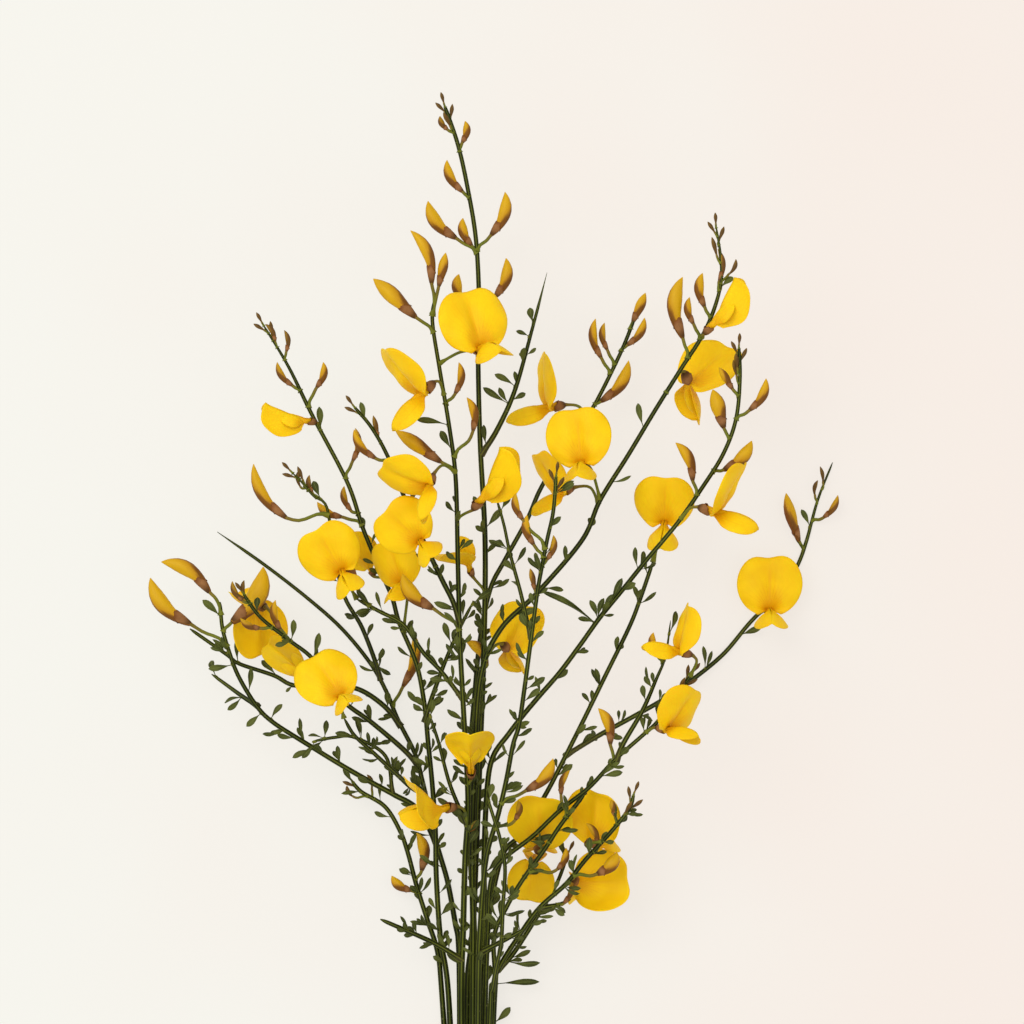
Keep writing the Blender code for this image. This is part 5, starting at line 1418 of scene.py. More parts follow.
# %% Make the stems
STEM_PIECE_SIDES = 25
RIDGE_DEPTH = 0.11
SWELLING = 0.35
SWELLING_LENGTH = 2.2
TAPER_LENGTH = 2.6
POINTED = ("left_bare", "tall_spur")
SLIM_TIPS = ("far_right_branch", "high_right", "left_upper", "left_raceme", "low_right_branch")
SLIM_LENGTH = 26.0
SLIMMER = 0.45
POINTED_TAPER = 4.0
BLUNT_END = 0.3
POINTED_END = 0.16
MAIN_NAMES = {row[0] for row in MAIN_STEMS}

STEM_RIDGES = 5.0

# Share of its width by which a ridged tube reaches down from its middle line
LOWEST_SIDE = 0.91


def stem_line(shoot):
    """The smooth centre line of a shoot, and its width with the swelling and the taper."""
    points, girth = shoot.smooth[:, :3].copy(), shoot.smooth[:, 3].copy()
    run = run_lengths(points)
    if shoot.name not in MAIN_NAMES:
        girth *= 1 + SWELLING * np.exp(-(run / SWELLING_LENGTH) ** 2)
    if shoot.name in SLIM_TIPS:
        girth *= 1 - SLIMMER * np.clip(1 - (run[-1] - run) / SLIM_LENGTH, 0, 1)
    left = (run[-1] - run) / TAPER_LENGTH
    if shoot.name in POINTED:
        girth *= POINTED_END + (1 - POINTED_END) * np.clip(left / POINTED_TAPER, 0, 1)
    else:
        girth *= BLUNT_END + (1 - BLUNT_END) * np.sqrt(np.clip(left, 0, 1))
    points[:, 2] = np.maximum(points[:, 2], LOWEST_SIDE * girth)
    return points, girth


UPWARD = np.array([0.0, 0.0, 1.0])
for node in nodes:
    lines = Lines()
    for shoot in on_node(node, shoots.values()):
        lines.add(*stem_line(shoot), UPWARD)
    piece = lines.grow(node + "_switch", STEM_FINISH, Sides=STEM_PIECE_SIDES, Ridges=STEM_RIDGES,
                       Depth=RIDGE_DEPTH)
    dress(piece, node)
    print(piece.name, len(piece.data.polygons), "faces")

# %% [markdown]
# ## Stalks, buds and bells
# A flower stalk is as thin as a pin and widens into the calyx, the little bell that held the
# bud. Stalks leave the stem along it and bend outwards, so each is a short curve with two
# handles. Buds are bent tubes with a groove: the wave on their profile has one crest, on the
# back of the bud, and the finish paints that side brown.

# %% Make the stalks and the buds
FLOWER_STALK_STEPS = 12
BUD_STALK_STEPS = 9
STALK_SWELLING = 1.1
SWELLING_SHARE = 0.11
CUP_SHARE = 0.25
CALYX_END = 0.85
BUD_STEPS = 17
BUD_SHAPE = ((0.0, 0.3), (0.08, 0.42), (0.2, 0.58), (0.36, 0.8), (0.5, 0.97), (0.62, 1.0), (0.75, 0.86),
             (0.87, 0.56), (0.95, 0.28), (1.0, 0.05))
STALK_SIDES = 9
BUD_SIDES = 18
BUD_GROOVE = 0.07
BUD_FLATNESS = 0.85
SMALLEST_RIPE = 0.85
RIPE_STEP = 0.65
SLIM_BUD = 0.74
PLUMPER = 0.08


def stalk_line(shoot, stalk, inside, count):
    """A smooth line of so many points from the shoot's smooth line to a point inside the calyx or bud."""
    share = shoot.share[np.argmin(np.linalg.norm(shoot.centre - stalk[0], axis=1))]
    root = stalk[0] + (shoot.smooth_at(share) - shoot.at(share))
    line = spline(np.vstack([root, stalk[1:], inside]), 0.25)
    return line[np.linspace(0, len(line) - 1, count).round().astype(int)]


def stalk_girth(line, wide, end):
    """Widths along a stalk: a foot swollen into the stem, then thin, then wider into the calyx."""
    share = np.linspace(0, 1, len(line))
    girth = wide * (1 + STALK_SWELLING * np.exp(-(share / SWELLING_SHARE) ** 2))
    girth += (end - wide) * np.clip((share - 1 + CUP_SHARE) / CUP_SHARE, 0, 1) ** 2
    return np.minimum(girth, np.maximum(line[:, 2], wide))


def bud_back(bud):
    """The way the brown back of a bud faces: along its bend, and never straight up or down."""
    axis = unit(bud.tip - bud.foot)
    low = np.array([axis[1], -axis[0], 0.0])
    low *= -np.sign(low[1]) if abs(low[1]) > 0.05 else 1.0
    return square_to(bud.bend * (1, 1, 0.25) + 0.25 * low, axis)


def ripeness(bud):
    """0 for the smallest buds, 1 for middling ones and 3 for those about to open."""
    return float(np.clip((bud.radius - SMALLEST_RIPE) / RIPE_STEP, 0, 3))


def bud_girth(bud):
    shares, sizes = zip(*BUD_SHAPE)
    slim = SLIM_BUD + (1 - SLIM_BUD) * min(1.0, ripeness(bud)) + PLUMPER * max(0.0, ripeness(bud) - 1.6)
    return slim * bud.radius * np.interp(np.linspace(0, 1, BUD_STEPS), shares, sizes)


for node in nodes:
    stalks, tubes = Lines(), Lines()
    for flower in on_node(node, flowers):
        inside = flower.place((-0.72 * CALYX_LENGTH, 0, 0))
        line = stalk_line(flower.shoot, flower.stalk, inside, FLOWER_STALK_STEPS)
        stalks.add(line, stalk_girth(line, STALK_RADIUS, CALYX_END), UPWARD)
    for bud in on_node(node, buds):
        line = stalk_line(bud.shoot, bud.stalk, bud.at(0.08), BUD_STALK_STEPS)
        thin = min(1.15 * STALK_RADIUS, 0.42 * bud.radius)
        stalks.add(line, stalk_girth(line, thin, 0.34 * bud.radius), UPWARD)
        middle = np.array([bud.at(share) for share in np.linspace(0, 1, BUD_STEPS)])
        tubes.add(middle, bud_girth(bud), bud_back(bud), ripeness(bud))
    if stalks.points:
        piece = stalks.grow(node + "_stalks", STALK_FINISH, Sides=STALK_SIDES, Ridges=0.0, Depth=0.0)
        dress(piece, node)
    if tubes.points:
        piece = tubes.grow(node + "_buds", BUD_FINISH, Sides=BUD_SIDES, Ridges=1.0, Depth=BUD_GROOVE,
                           Flatness=BUD_FLATNESS)
        dress(piece, node)
        print(piece.name, len(piece.data.polygons), "faces")

# %% [markdown]
# ## Copies on points
# Calyces, leaflets and the small cushions under the leaflets repeat by the dozen. Each is made
# once and a tree puts a copy on every point. A point carries two directions, along the copy and
# up from it, and a size for each way, so no two copies look alike.

# %% The tree that puts copies on points
def copies_tree():
    grow = Grower("copies_on_points", {"Shape": ("Object", None)})
    given = grow.inputs
    ahead, over, size = (grow.stored(name, "FLOAT_VECTOR") for name in ("ahead", "over", "size"))
    turned = grow.add("FunctionNodeAxesToRotation", {"Primary Axis": ahead, "Secondary Axis": over},
                      primary_axis="X", secondary_axis="Z")[0]
    shape = grow.add("ObjectInfo", {"Object": given["Shape"]})["Geometry"]
    copies = grow.add("InstanceOnPoints", {
        "Points": given["Geometry"], "Instance": shape, "Rotation": turned, "Scale": size})[0]
    return grow.end(copies)


COPIES = copies_tree()


class Spots:
    """Points that each take a copy: where, which way ahead, which way is up, and how large."""

    def __init__(self):
        self.points, self.ahead, self.over, self.size = [], [], [], []

    def add(self, point, ahead, over, size):
        self.points.append(point)
        self.ahead.append(ahead)
        self.over.append(over)
        self.size.append(np.asarray(size, float) * MM)

    def grow(self, name, finish, shape):
        values = {"ahead": self.ahead, "over": self.over, "size": self.size}
        made = plain_object(name, self.points, values=values)
        bake(made, COPIES, {"Finish": finish, "Shape": shape})
        return made


def sheet_faces(rows, columns, around=False):
    """Faces of a grid whose points run row by row. A sheet that goes around closes on itself."""
    faces = []
    for row in range(rows - 1):
        for column in range(columns if around else columns - 1):
            after = (column + 1) % columns
            first, second = row * columns, (row + 1) * columns
            faces.append((first + column, first + after, second + after, second + column))
    return faces


def turned(rings, sides, lip=lambda turn: 0.0):
    """Points round X, ring by ring: how far ahead and how far out each lies, and its share of the lip."""
    turns = [2 * math.pi * step / sides for step in range(sides)]
    return [(ahead + rim * lip(turn), out * math.cos(turn), out * math.sin(turn))
            for ahead, out, rim in rings for turn in turns]


def closed_faces(rings, sides):
    """Faces of a sheet that goes round X, with a flat end on each side."""
    last = (rings - 1) * sides
    faces = [tuple(reversed(face)) for face in sheet_faces(rings, sides, around=True)]
    return faces + [tuple(range(sides)), tuple(reversed(range(last, last + sides)))]


def shape_object(name, points, faces, values):
    """The pattern of a copy: one unit long, kept out of the scene."""
    made = plain_object(name, np.asarray(points) / MM, faces=faces, values=values)
    bpy.context.scene.collection.objects.unlink(made)
    return made


print("copies tree:", len(COPIES.nodes), "nodes")

# %% [markdown]
# ## Calyces
# The calyx is a bell with two lips: a broad one below with three small teeth and one above. It is
# a wall, not a solid lump, so the profile goes up the outside, over a toothed rim, and down
# the inside.

# %% Make the calyces
CALYX_SIDES = 20
CALYX_WALL = ((0.0, 0.26, 0), (0.1, 0.5, 0), (0.3, 0.74, 0), (0.6, 0.9, 0), (0.88, 1.0, 1), (0.92, 0.97, 1),
              (0.86, 0.9, 1), (0.5, 0.78, 0), (0.25, 0.55, 0), (0.16, 0.02, 0))
BUD_CALYX_WALL = ((0.0, 0.3, 0), (0.12, 0.43, 0), (0.4, 0.62, 0), (0.75, 0.82, 0), (0.96, 0.9, 1),
                  (1.0, 0.84, 1), (0.9, 0.5, 0), (0.85, 0.05, 0))
CALYX_TOOTH = 0.12
NARROW_TOOTH = 0.6
CALYX_SLANT = 0.2


def calyx_lip(turn):
    """How far ahead the rim of a calyx reaches at a turn round it."""
    tooth = CALYX_TOOTH * (math.cos(2 * turn) + NARROW_TOOTH * math.cos(5 * turn))
    return tooth - CALYX_SLANT * math.sin(turn)


def calyx_shape(wall):
    """A bell along X, one unit long and about one unit in radius."""
    along = np.repeat([ring[0] for ring in wall], CALYX_SIDES)
    points = turned(wall, CALYX_SIDES, calyx_lip)
    return shape_object("calyx_shape", points, closed_faces(len(wall), CALYX_SIDES), {"along": along})


CALYX_SHAPE = calyx_shape(CALYX_WALL)
BUD_CALYX_SHAPE = calyx_shape(BUD_CALYX_WALL)
BUD_CALYX_SHARE = 0.3
BUD_CALYX_SIZE = 0.86
SMALLEST_CALYX = 0.2
CALYX_STRETCH = 1.06
CALYX_SINK = 0.04

for node in nodes:
    spots, bud_spots = Spots(), Spots()
    for flower in on_node(node, flowers):
        wide = CALYX_RADIUS * flower.size
        length = CALYX_STRETCH * CALYX_LENGTH * flower.size
        spots.add(flower.foot(), *flower.axes[:2], (length, wide, wide))
    for bud in on_node(node, buds):
        if ripeness(bud) >= SMALLEST_CALYX:
            length = BUD_CALYX_SHARE * np.linalg.norm(bud.tip - bud.foot)
            ahead = unit(bud.at(BUD_CALYX_SHARE) - bud.foot)
            wide = BUD_CALYX_SIZE * bud.radius
            bud_spots.add(bud.foot - CALYX_SINK * length * ahead, ahead, bud_back(bud),
                          (length, BUD_FLATNESS * wide, wide))
    if spots.points:
        dress(spots.grow(node + "_calyces", CALYX_FINISH, CALYX_SHAPE), node)
    if bud_spots.points:
        dress(bud_spots.grow(node + "_bud_calyces", CALYX_FINISH, BUD_CALYX_SHAPE), node)
print("calyx:", len(CALYX_SHAPE.data.polygons), "faces")

# %% [markdown]
# ## Leaflets
# Broom leaflets are a few millimetres long, broadest past the middle, with a blunt tip and a
# short foot. They grow one to three together from a small cushion on a ridge of the stem. A
# leaflet is a thin closed blade, arched along and cupped across.

# %% The shape of a leaflet
LEAF_ROWS = 13
LEAF_COLUMNS = 7
LEAF_ARCH = 0.09
LEAF_CUP = 0.07
LEAF_SHAPE_WIDTHS = ((0.0, 0.13), (0.24, 0.13), (0.36, 0.36), (0.52, 0.74), (0.68, 1.0), (0.82, 0.94),
                     (0.93, 0.62), (1.0, 0.1))
LEAF_WALL = 0.016
LEAF_STRETCH = 1.08
LEAF_SLIM = 0.92


def leaf_shape():
    """A blade along X, one unit long and one wide, with two faces that meet at the edge."""
    shares, widths = zip(*LEAF_SHAPE_WIDTHS)
    points, along, across = [], [], []
    for side in (1, -1):
        for share in np.linspace(0, 1, LEAF_ROWS):
            wide = 0.5 * float(np.interp(share, shares, widths))
            for out in np.linspace(-1, 1, LEAF_COLUMNS):
                thick = side * LEAF_WALL * math.sqrt(max(0.0, 1 - out * out))
                cup = LEAF_CUP * out * out * math.sin(math.pi * share)
                points.append((share, out * wide, 4 * LEAF_ARCH * share * (1 - share) + cup + thick))
                along.append(share)
                across.append(0.5 + 0.5 * out)
    top = sheet_faces(LEAF_ROWS, LEAF_COLUMNS)
    under = [tuple(LEAF_ROWS * LEAF_COLUMNS + corner for corner in reversed(face)) for face in top]
    faces = [tuple(reversed(face)) for face in top + under]
    return shape_object("leaf_shape", points, faces, {"along": along, "across": across})


LEAF_SHAPE = leaf_shape()
CUSHION_SIZE = (0.9, 0.5, 0.4)
CUSHION_RINGS = 5
CUSHION_SIDES = 8


def cushion_shape():
    """A low oval cushion, where a leaflet leaves the stem."""
    turns = [math.pi * (ring + 0.5) / CUSHION_RINGS for ring in range(CUSHION_RINGS)]
    points = turned([(-math.cos(turn), math.sin(turn), 0) for turn in turns], CUSHION_SIDES)
    faces = closed_faces(CUSHION_RINGS, CUSHION_SIDES)
    return shape_object("cushion_shape", points, faces, {"along": [0.5] * len(points)})


CUSHION_SHAPE = cushion_shape()
print("leaflet:", len(LEAF_SHAPE.data.polygons), "faces, cushion:", len(CUSHION_SHAPE.data.polygons))

# %% More leaflets than the solids carry
FINE_SEED = 23
FINE_STEP = 6.0
FINE_LENGTH = 5.4
FINE_WIDTH = 1.6
FINE_CLEARANCE = 0.2
LOWEST_LEAF = 16.0
LEAFY_TOP = 128.0
LAST_LEAF = 172.0
LEAFY_MIDDLE = 8.0
LEAFY_REACH = 34.0
BARE = ("left_bare",)
OWN_STEPS = {"mid_right": 15.0, "far_right": 14.0, "high_right": 13.0, "low_right": 12.0,
             "low_right_branch": 11.0, "left_bare": 13.0, "left_high": 10.0, "left_long": 10.0,
             "left_raceme": 11.0, "tall_spur": 16.0}

# Leaflets that can be told apart in the picture: the column and row where each starts, and where it ends
NOTED_LEAVES = (
    (529, 336, 516, 331), (531, 331, 534, 318), (527, 358, 519, 353), (529, 357, 536, 348),
    (508, 383, 494, 374), (509, 384, 514, 371), (500, 399, 482, 387), (501, 400, 498, 387),
    (441, 427, 416, 420), (238, 660, 238, 637), (317, 657, 319, 633), (352, 652, 334, 654),
    (291, 642, 294, 619), (232, 665, 208, 669), (238, 700, 226, 710), (259, 714, 246, 727),
    (273, 718, 283, 703), (306, 743, 297, 727), (322, 738, 326, 721), (311, 753, 292, 758),
    (295, 679, 285, 692), (601, 628, 578, 618), (603, 622, 590, 600), (603, 622, 604, 598),
    (604, 614, 614, 594), (603, 602, 622, 578), (556, 708, 538, 697), (579, 612, 541, 591),
    (611, 652, 618, 636), (592, 706, 582, 693), (590, 705, 592, 690), (598, 778, 620, 758),
    (600, 776, 623, 772), (634, 677, 651, 671), (520, 978, 540, 965), (517, 988, 540, 985),
    (503, 996, 518, 985), (473, 702, 455, 694), (470, 766, 452, 747), (530, 690, 545, 676),
    (497, 790, 519, 781), (499, 803, 516, 798), (420, 706, 405, 692), (366, 640, 372, 624),
    (386, 660, 389, 676), (560, 780, 572, 764),
)
NOTED_SLIM = 0.3
NOTED_RISES = (0.15, 0.5, -0.2, 0.9, -0.6)


def leaf_balls(root, ahead, length, width):
    """Balls along a leaflet that keep its place free."""
    blade = np.array([root + ahead * length * part for part in (0.3, 0.5, 0.7, 0.85, 1.0)])
    return np.column_stack([blade, [0.3, 0.5 * width, 0.6 * width, 0.6 * width, 0.4]])


def noted_leaflets(shoots, space):
    """The leaflets noted in the picture, each on the shoot that passes nearest to where it starts."""
    found = []
    for row in NOTED_LEAVES:
        flat = on_table(row[:2])
        shoot = min(shoots.values(), key=lambda tried: tried.distance(flat))
        share = shoot.nearest(flat)
        root = shoot.at(share)
        way = on_table(row[2:]) - root[:2]
        length = float(np.linalg.norm(way))
        width = min(2.2, NOTED_SLIM * length + 0.2)
        for rise in NOTED_RISES:
            ahead = unit((way[0], way[1], rise * length))
            balls = leaf_balls(root, ahead, length, width)
            if space.room(balls, (shoot.node,)) >= FINE_CLEARANCE and balls[:, 2].min() > width:
                space.add(shoot.node, balls)
                over = unit(UPWARD + 0.5 * math.sin(7 * length) * np.cross(ahead, UPWARD))
                found.append((shoot, share, root, ahead, over, length / LEAF_STRETCH, width))
                break
    return found


def fine_leaflets(shoots, space, random):
    """Groups of one to three small leaflets at even steps along every shoot, where there is room."""
    found = []
    for shoot in shoots.values():
        turn = random.uniform(0, 2 * math.pi)
        for run in np.arange(4.0, shoot.length - 3.0, OWN_STEPS.get(shoot.name, FINE_STEP)):
            share = min(0.99, (run + random.uniform(-2, 2)) / shoot.length)
            turn += LEAF_TURN
            root = shoot.at(share)
            high = (root[1] - LEAFY_TOP) / (LAST_LEAF - LEAFY_TOP)
            aside = min(0.7, max(0.0, abs(root[0] - LEAFY_MIDDLE) / LEAFY_REACH - 1))
            skipped = random.uniform(0, 1) < max(high, aside)
            if root[1] < LOWEST_LEAF or skipped or (shoot.name in BARE and share > 0.6):
                continue
            for number in range(random.integers(1, 4)):
                lean = random.uniform(0.8, 1.7)
                own_turn = turn + 0.75 * (number - 1) + random.uniform(-0.2, 0.2)
                ahead, over = shoot.way_out(share, own_turn, lean, 0.7, 0.6)
                length = FINE_LENGTH * random.uniform(0.6, 1.25)
                width = FINE_WIDTH * random.uniform(0.7, 1.2)
                balls = leaf_balls(root, ahead, length, width)
                if space.room(balls, (shoot.node,)) >= FINE_CLEARANCE:
                    space.add(shoot.node, balls)
                    found.append((shoot, share, root, ahead, over, length, width))
    return found


noted_leaves = noted_leaflets(shoots, space)
print("leaflets told apart:", len(noted_leaves), "of", len(NOTED_LEAVES))
fine_leaves = noted_leaves + fine_leaflets(shoots, space, np.random.default_rng(FINE_SEED))
print("more leaflets:", len(fine_leaves))

# %% Make the leaflets and their cushions
# How far out of the stem's middle a cushion sits, as a share of the stem's radius
CUSHION_SEAT = 0.55

for node in nodes:
    spots, cushions = Spots(), Spots()
    for shoot, share, root, ahead, over, length, width in leaves + fine_leaves:
        if shoot.node == node:
            root = root + shoot.smooth_at(share) - shoot.at(share)
            spots.add(root, ahead, over, (LEAF_STRETCH * length, LEAF_SLIM * width, length))
            seat = root + CUSHION_SEAT * np.interp(share, shoot.share, shoot.radius) * unit(ahead)
            cushions.add(seat, shoot.tangent(share), over, CUSHION_SIZE)
    if spots.points:
        dress(spots.grow(node + "_leaflets", LEAF_FINISH, LEAF_SHAPE), node)
        dress(cushions.grow(node + "_cushions", STALK_FINISH, CUSHION_SHAPE), node)
print("leaflets made:", len(leaves + fine_leaves))

# %% [markdown]
# ## Petals
# A pea flower has five petals: the banner stands up at the back, two wings hang in front of it, and
# two more are joined into the keel between them. Each is a curved sheet. Here a petal
# is a grid of points from the same rule that placed the solids, with what they leave out: the
# rounded outline, a notch, a crease down the middle, two soft lobes and a waved edge.

# %% Rules of the petals
BANNER_GRID = (20, 49)
WING_GRID = (16, 11)
KEEL_GRID = (15, 13)
PETAL_WALL = 0.2
FLOWER_SEED = 5
BANNER_WAVE = 0.42
BANNER_LOBE = 0.75
BANNER_CREASE = 0.75
BANNER_CURL = 0.7
BANNER_RIPPLE = 0.16
NOTCH_DEPTH = 0.045
NOTCH_ASIDE = 0.12
UNEVEN_SIDES = 0.035
CLAW_WIDTH = 1.1
WING_START = (1.6, -0.4, 0.25)
WING_REACH = 13.8
HIDDEN_WING = 0.75
WING_OUTLINE = ((0.0, 0.16), (0.12, 0.4), (0.3, 0.86), (0.5, 1.0), (0.7, 0.95), (0.86, 0.76), (0.95, 0.5),
                (1.0, 0.1))
WING_CUP = 0.8
WING_MEETS = 0.7
WING_WAVE = 0.22
WING_DIMPLE = 0.3
KEEL_OPEN = math.radians(12)


def smooth_profile(table, share):
    """A value along a table of places and sizes, rounded between them."""
    places, sizes = np.array(table).T
    fine = np.interp(np.linspace(0, 1, 61), places, sizes)
    kernel = np.hanning(9)
    padded = np.concatenate([np.full(4, fine[0]), fine, np.full(4, fine[-1])])
    return float(np.interp(share, np.linspace(0, 1, 61), np.convolve(padded, kernel / kernel.sum(), "valid")))


class Sheet:
    """The grids of one flower's petals, gathered into one mesh."""

    def __init__(self):
        self.points, self.faces, self.along, self.across = [], [], [], []

    def add(self, grid, rows, columns, flip=False):
        start = len(self.points)
        self.points.extend(grid)
        self.along.extend(np.repeat(np.linspace(0, 1, rows), columns))
        self.across.extend(np.tile(np.linspace(0, 1, columns), rows))
        for face in sheet_faces(rows, columns):
            face = tuple(start + corner for corner in face)
            self.faces.append(tuple(reversed(face)) if flip else face)


def banner_grid(flower, random):
    """The banner as (forward, up, side) points: from its claw inside the calyx out to the waved edge."""
    rows, columns = BANNER_GRID
    phase = random.uniform(0, 2 * math.pi, 4)
    notch_at = random.uniform(-NOTCH_ASIDE, NOTCH_ASIDE)
    uneven = random.uniform(-UNEVEN_SIDES, UNEVEN_SIDES, 2)
    tilt = math.radians(flower.opening - 90)
    normal = np.array([math.cos(tilt), math.sin(tilt), 0.0])
    points = []
    for row in range(rows):
        reach = 0.04 + 0.96 * max(0.0, (row - 2) / (rows - 3)) ** 0.85
        for angle in np.linspace(-BANNER_SPREAD, BANNER_SPREAD, columns):
            if row < 2:
                points.append((-0.9 + 1.5 * row, 0.15 + 0.1 * row, CLAW_WIDTH * (0.3 + 0.2 * row) * angle))
                continue
            place, edge = banner_place(reach, angle, flower.opening, flower.fold)
            side = place[2]
            out = reach * edge
            bump = math.exp(-((angle - notch_at) / 0.2) ** 2)
            shrink = 1 - NOTCH_DEPTH * bump * reach ** 4
            shrink += uneven[0] * math.sin(angle) + uneven[1] * math.sin(2 * angle)
            wave = math.sin(5.2 * angle + phase[0]) + 0.6 * math.sin(9.1 * angle + phase[1])
            lobe = math.sin(min(1.0, abs(angle) / 1.5) * math.pi) * math.sin(math.pi * min(1.0, reach * 1.05))
            crease = math.exp(-(side / 1.5) ** 2) * math.sin(math.pi * min(1.0, 0.15 + 0.85 * reach))
            curl = max(0.0, (reach - 0.8) / 0.2) ** 2 * (0.6 + 0.4 * math.sin(3 * angle + phase[2]))
            depth = BANNER_LOBE * lobe - BANNER_CREASE * crease - BANNER_CURL * curl
            depth += BANNER_WAVE * wave * reach ** 2.5
            depth += BANNER_RIPPLE * math.sin(0.9 * out + phase[3]) * math.sin(2.3 * angle)
            place = place * (1, shrink, shrink) + normal * depth * min(1.0, reach * 3)
            place[2] += 0.5 * CLAW_WIDTH * angle * math.exp(-(reach / 0.14) ** 2)
            points.append(place)
    return points


def wing_grid(flower, hand, random):
    """A wing petal, cupped round the keel, with a rounded end."""
    rows, columns = WING_GRID
    phase = random.uniform(0, 2 * math.pi, 2)
    along, across, outward = wing_frame(hand, flower.droop)
    small = HIDDEN_WING if flower.opening < WINGS_HIDDEN else 1.0
    points = []
    for row in range(rows):
        share = row / (rows - 1)
        wide = small * WING_HALF_WIDTH * smooth_profile(WING_OUTLINE, share)
        middle = np.array(WING_START) * (1, 1, hand) + along * small * WING_REACH * share
        middle = middle + outward * (WING_BELLY * math.sin(math.pi * share) + math.sin(WING_TENT) * wide)
        for column in range(columns):
            out = 2 * column / (columns - 1) - 1
            cup = WING_CUP * (1 - out * out) * math.sin(math.pi * min(1.0, share * 1.1))
            wave = WING_WAVE * math.sin(7 * share + 3 * out + phase[0]) * out * out
            pit = math.exp(-((share - 0.22) / 0.09) ** 2) * math.exp(-((out - 0.3) / 0.4) ** 2)
            inward = 0.5 * (1 - out) * WING_MEETS * min(1.0, 4 * share)
            height = cup + wave - WING_DIMPLE * pit - inward
            points.append(middle + across * wide * out + outward * height)
    return points


def keel_grid(flower):
    """The keel: a boat of two joined petals, open along the top and pointed in front."""
    rows, columns = KEEL_GRID
    rings = keel_rings(np.linspace(0.0, 1.0, rows - 1)[1:], flower.droop)
    middles = np.array([ring[0] for ring in rings])
    middles[0] = (-0.6, 0.0, 0.0)
    points = []
    for middle, (_, tall, wide) in zip(middles, rings):
        for column in range(columns):
            angle = 0.5 * (math.pi + KEEL_OPEN) + (2 * math.pi - KEEL_OPEN) * column / (columns - 1)
            points.append(middle + math.sin(angle) * tall + wide * math.cos(angle) * np.array([0, 0, 1.0]))
    return points


print("points in a banner:", BANNER_GRID[0] * BANNER_GRID[1])

# %% Make the flowers
for number, flower in enumerate(flowers):
    random = np.random.default_rng(FLOWER_SEED + number)
    sheet = Sheet()
    sheet.add(banner_grid(flower, random), *BANNER_GRID)
    for hand in (-1, 1):
        sheet.add(wing_grid(flower, hand, random), *WING_GRID, flip=hand > 0)
    sheet.add(keel_grid(flower), *KEEL_GRID)
    piece = plain_object(flower.name + "_petals", flower.place(sheet.points), faces=sheet.faces,
                         values={"along": sheet.along, "across": sheet.across})
    wall = piece.modifiers.new("wall", "SOLIDIFY")
    wall.thickness = PETAL_WALL * MM
    wall.offset = 0.0
    piece.data.shade_smooth()
    piece.data.materials.append(PETAL_FINISH)
    dress(piece, flower.name)
print(len(flowers), "flowers of", len(sheet.faces), "faces")

# %% [markdown]
# ## Cut ends
# The stems were cut across with shears. A fresh cut shows white pith inside a ring of pale
# wood and the green skin. Each is a slightly hollow disc on the end of its stem.

# %% Make the cut ends
CUT_HOLLOW = 0.05
CUT_RINGS = ((0.0, 0.35, 0), (0.02, 0.7, 0), (0.04, 0.92, 0), (-0.02, 1.0, 0))
CUT_SIDES = 20
CUT_GAP = 0.03


def cut_shape():
    """A disc that faces back along X, with rings that the finish can tell apart."""
    points = [(CUT_HOLLOW, 0.0, 0.0)] + turned(CUT_RINGS, CUT_SIDES)
    along = [0.0, *np.repeat([ring[1] for ring in CUT_RINGS], CUT_SIDES)]
    faces = [(0, 1 + (step + 1) % CUT_SIDES, 1 + step) for step in range(CUT_SIDES)]
    for face in sheet_faces(len(CUT_RINGS), CUT_SIDES, around=True):
        faces.append(tuple(1 + corner for corner in reversed(face)))
    return shape_object("cut_shape", points, faces, {"along": along})


CUT_SHAPE = cut_shape()
for node in nodes:
    spots = Spots()
    for shoot in on_node(node, shoots.values()):
        if shoot.name in MAIN_NAMES:
            wide = shoot.smooth[0, 3]
            spots.add(shoot.smooth[0, :3] - (0, CUT_GAP, 0), (0, 1.0, 0), UPWARD, (wide, wide, wide))
    dress(spots.grow(node + "_cut", PITH_FINISH, CUT_SHAPE), node)
print("cut ends:", len(MAIN_NAMES))

# %% [markdown]
# ## Table and light
# The picture was taken against a pale paper with a hint of pink. A wide plane in that
# colour does for the table. It also glows in that colour, painted light that fills the shadows
# under the bunch, and large soft lamps and a bright sky keep the rest of them faint.

# %% Table, lamps and sky
TABLE_SIDE = 8.0
# The paper's own glow is painted light that fills the shadows of the bunch on it; PAPER_SHADE darkens its lit
# colour so that the glow gives most of its brightness.
PAPER_PAINTED_GLOW = 0.76
PAPER_SHADE = 0.84
SKY_LIGHT = 0.8
KEY_COLOUR = (1.0, 0.985, 0.96)


def paper_finish():
    """Pale paper, hardly mottled: cream towards the left and a little pinker towards the right. It glows in
    that colour, painted light, and its lit colour is darkened to match.
    """
    made = Finish("table_paper", Roughness=0.85, Specular_IOR_Level=0.1, Emission_Strength=PAPER_PAINTED_GLOW)
    across = made.add("SeparateXYZ", {"Vector": made.place()}, output="X")
    blotches = made.noise(11.0, detail=1.0)
    pink = (across * 2.6 + (blotches - 0.5) * 0.7 + 0.42).between(0.0, 1.0)
    pale = made.mix(pink, (251, 250, 243), (252, 242, 234))
    made.colour(made.mix(PAPER_SHADE, pale, (0, 0, 0)))
    # Painted light: the paper glows in its own pale colour.
    made.plug(pale, made.shader.inputs["Emission Color"])
    return made.material


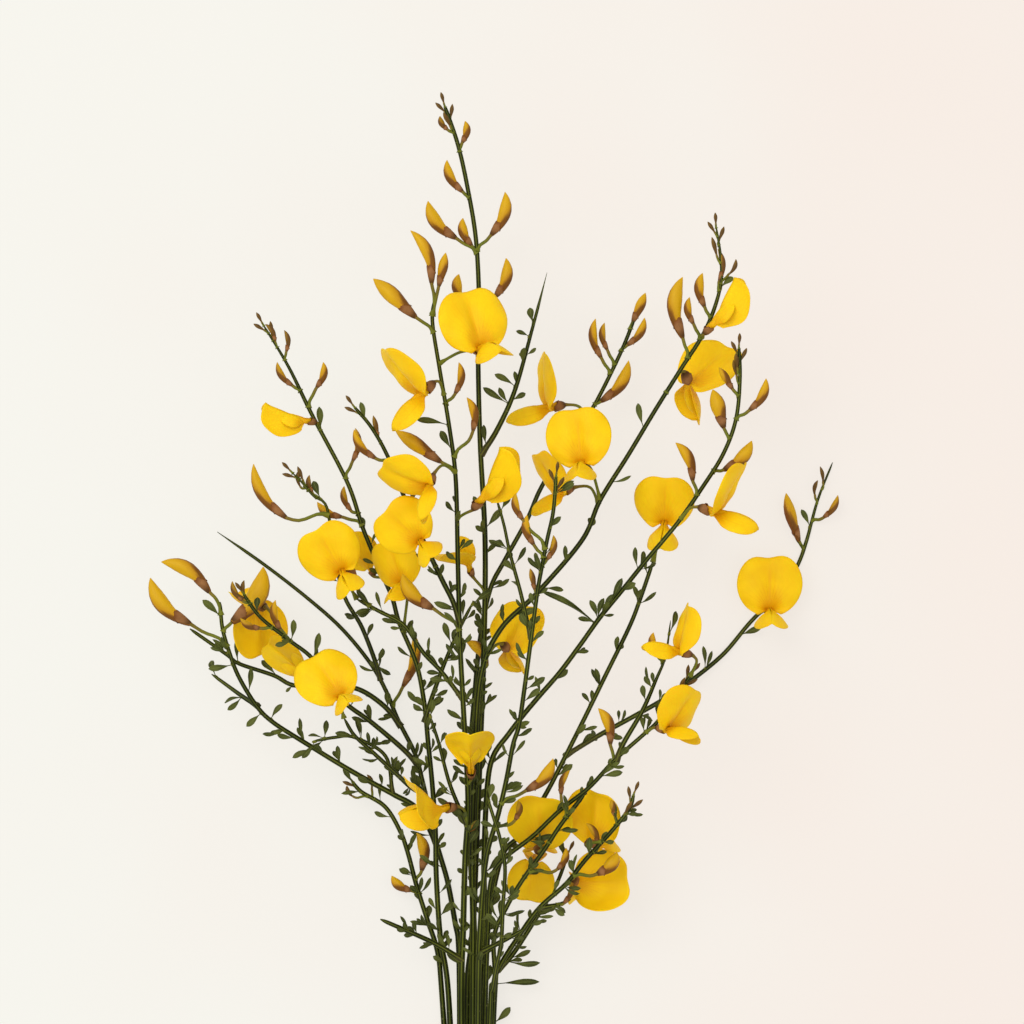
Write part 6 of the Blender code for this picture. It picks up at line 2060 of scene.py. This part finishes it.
def lamp(name, place, aim, side, power, colour=(1.0, 1.0, 1.0)):
    """A square soft lamp that looks at a point."""
    light = bpy.data.lights.new(name, "AREA")
    light.shape = "SQUARE"
    light.size = side
    light.energy = power
    light.color = colour
    made = bpy.data.objects.new(name, light)
    made.location = place
    away = np.array(aim, float) - np.array(place, float)
    flat = math.hypot(away[0], away[1])
    made.rotation_euler = (math.atan2(flat, -away[2]), 0, math.atan2(away[1], away[0]) - math.pi / 2)
    bpy.context.scene.collection.objects.link(made)


half = 0.5 * TABLE_SIDE / MM
corners = [(-half, -half, 0), (half, -half, 0), (half, half, 0), (-half, half, 0)]
table = plain_object("table", corners, faces=[(0, 1, 2, 3)])
table.data.materials.append(paper_finish())

middle = (0.01, 0.12, 0.02)
lamp("key_lamp", (-0.9, 0.9, 2.0), middle, 1.6, 25.0, KEY_COLOUR)
lamp("fill_lamp", (0.9, -0.3, 2.4), middle, 2.4, 12.0)
sky = bpy.data.worlds.new("pale_sky")
sky.use_nodes = True
glow = sky.node_tree.nodes["Background"].inputs
glow["Color"].default_value = shade(250, 246, 243)
glow["Strength"].default_value = SKY_LIGHT
bpy.context.scene.world = sky
bpy.context.scene.view_settings.view_transform = "Standard"
print("table and two lamps")

# %% [markdown]
# ## The view
# The photo shows the bunch flat on to the lens. A cut bunch lies down, so here it lies on the
# table and a long lens looks straight down at it. From four metres away the near flowers are
# hardly larger than the far ones, as in the photo.

# %% Camera
PICTURE_SIDE = 1024
CAMERA_HEIGHT = 4.0
TRUE_HEIGHT = 0.03

camera = bpy.data.objects.new("camera", bpy.data.cameras.new("camera"))
bpy.context.scene.collection.objects.link(camera)
middle_x, middle_y = on_table((PICTURE_SIDE / 2, PICTURE_SIDE / 2)) * MM
camera.location = (middle_x, middle_y, CAMERA_HEIGHT)
seen = PICTURE_SIDE * MM_PER_PIXEL * MM
camera.data.lens = camera.data.sensor_width * (CAMERA_HEIGHT - TRUE_HEIGHT) / seen
bpy.context.scene.camera = camera
print("lens:", round(camera.data.lens), "mm")
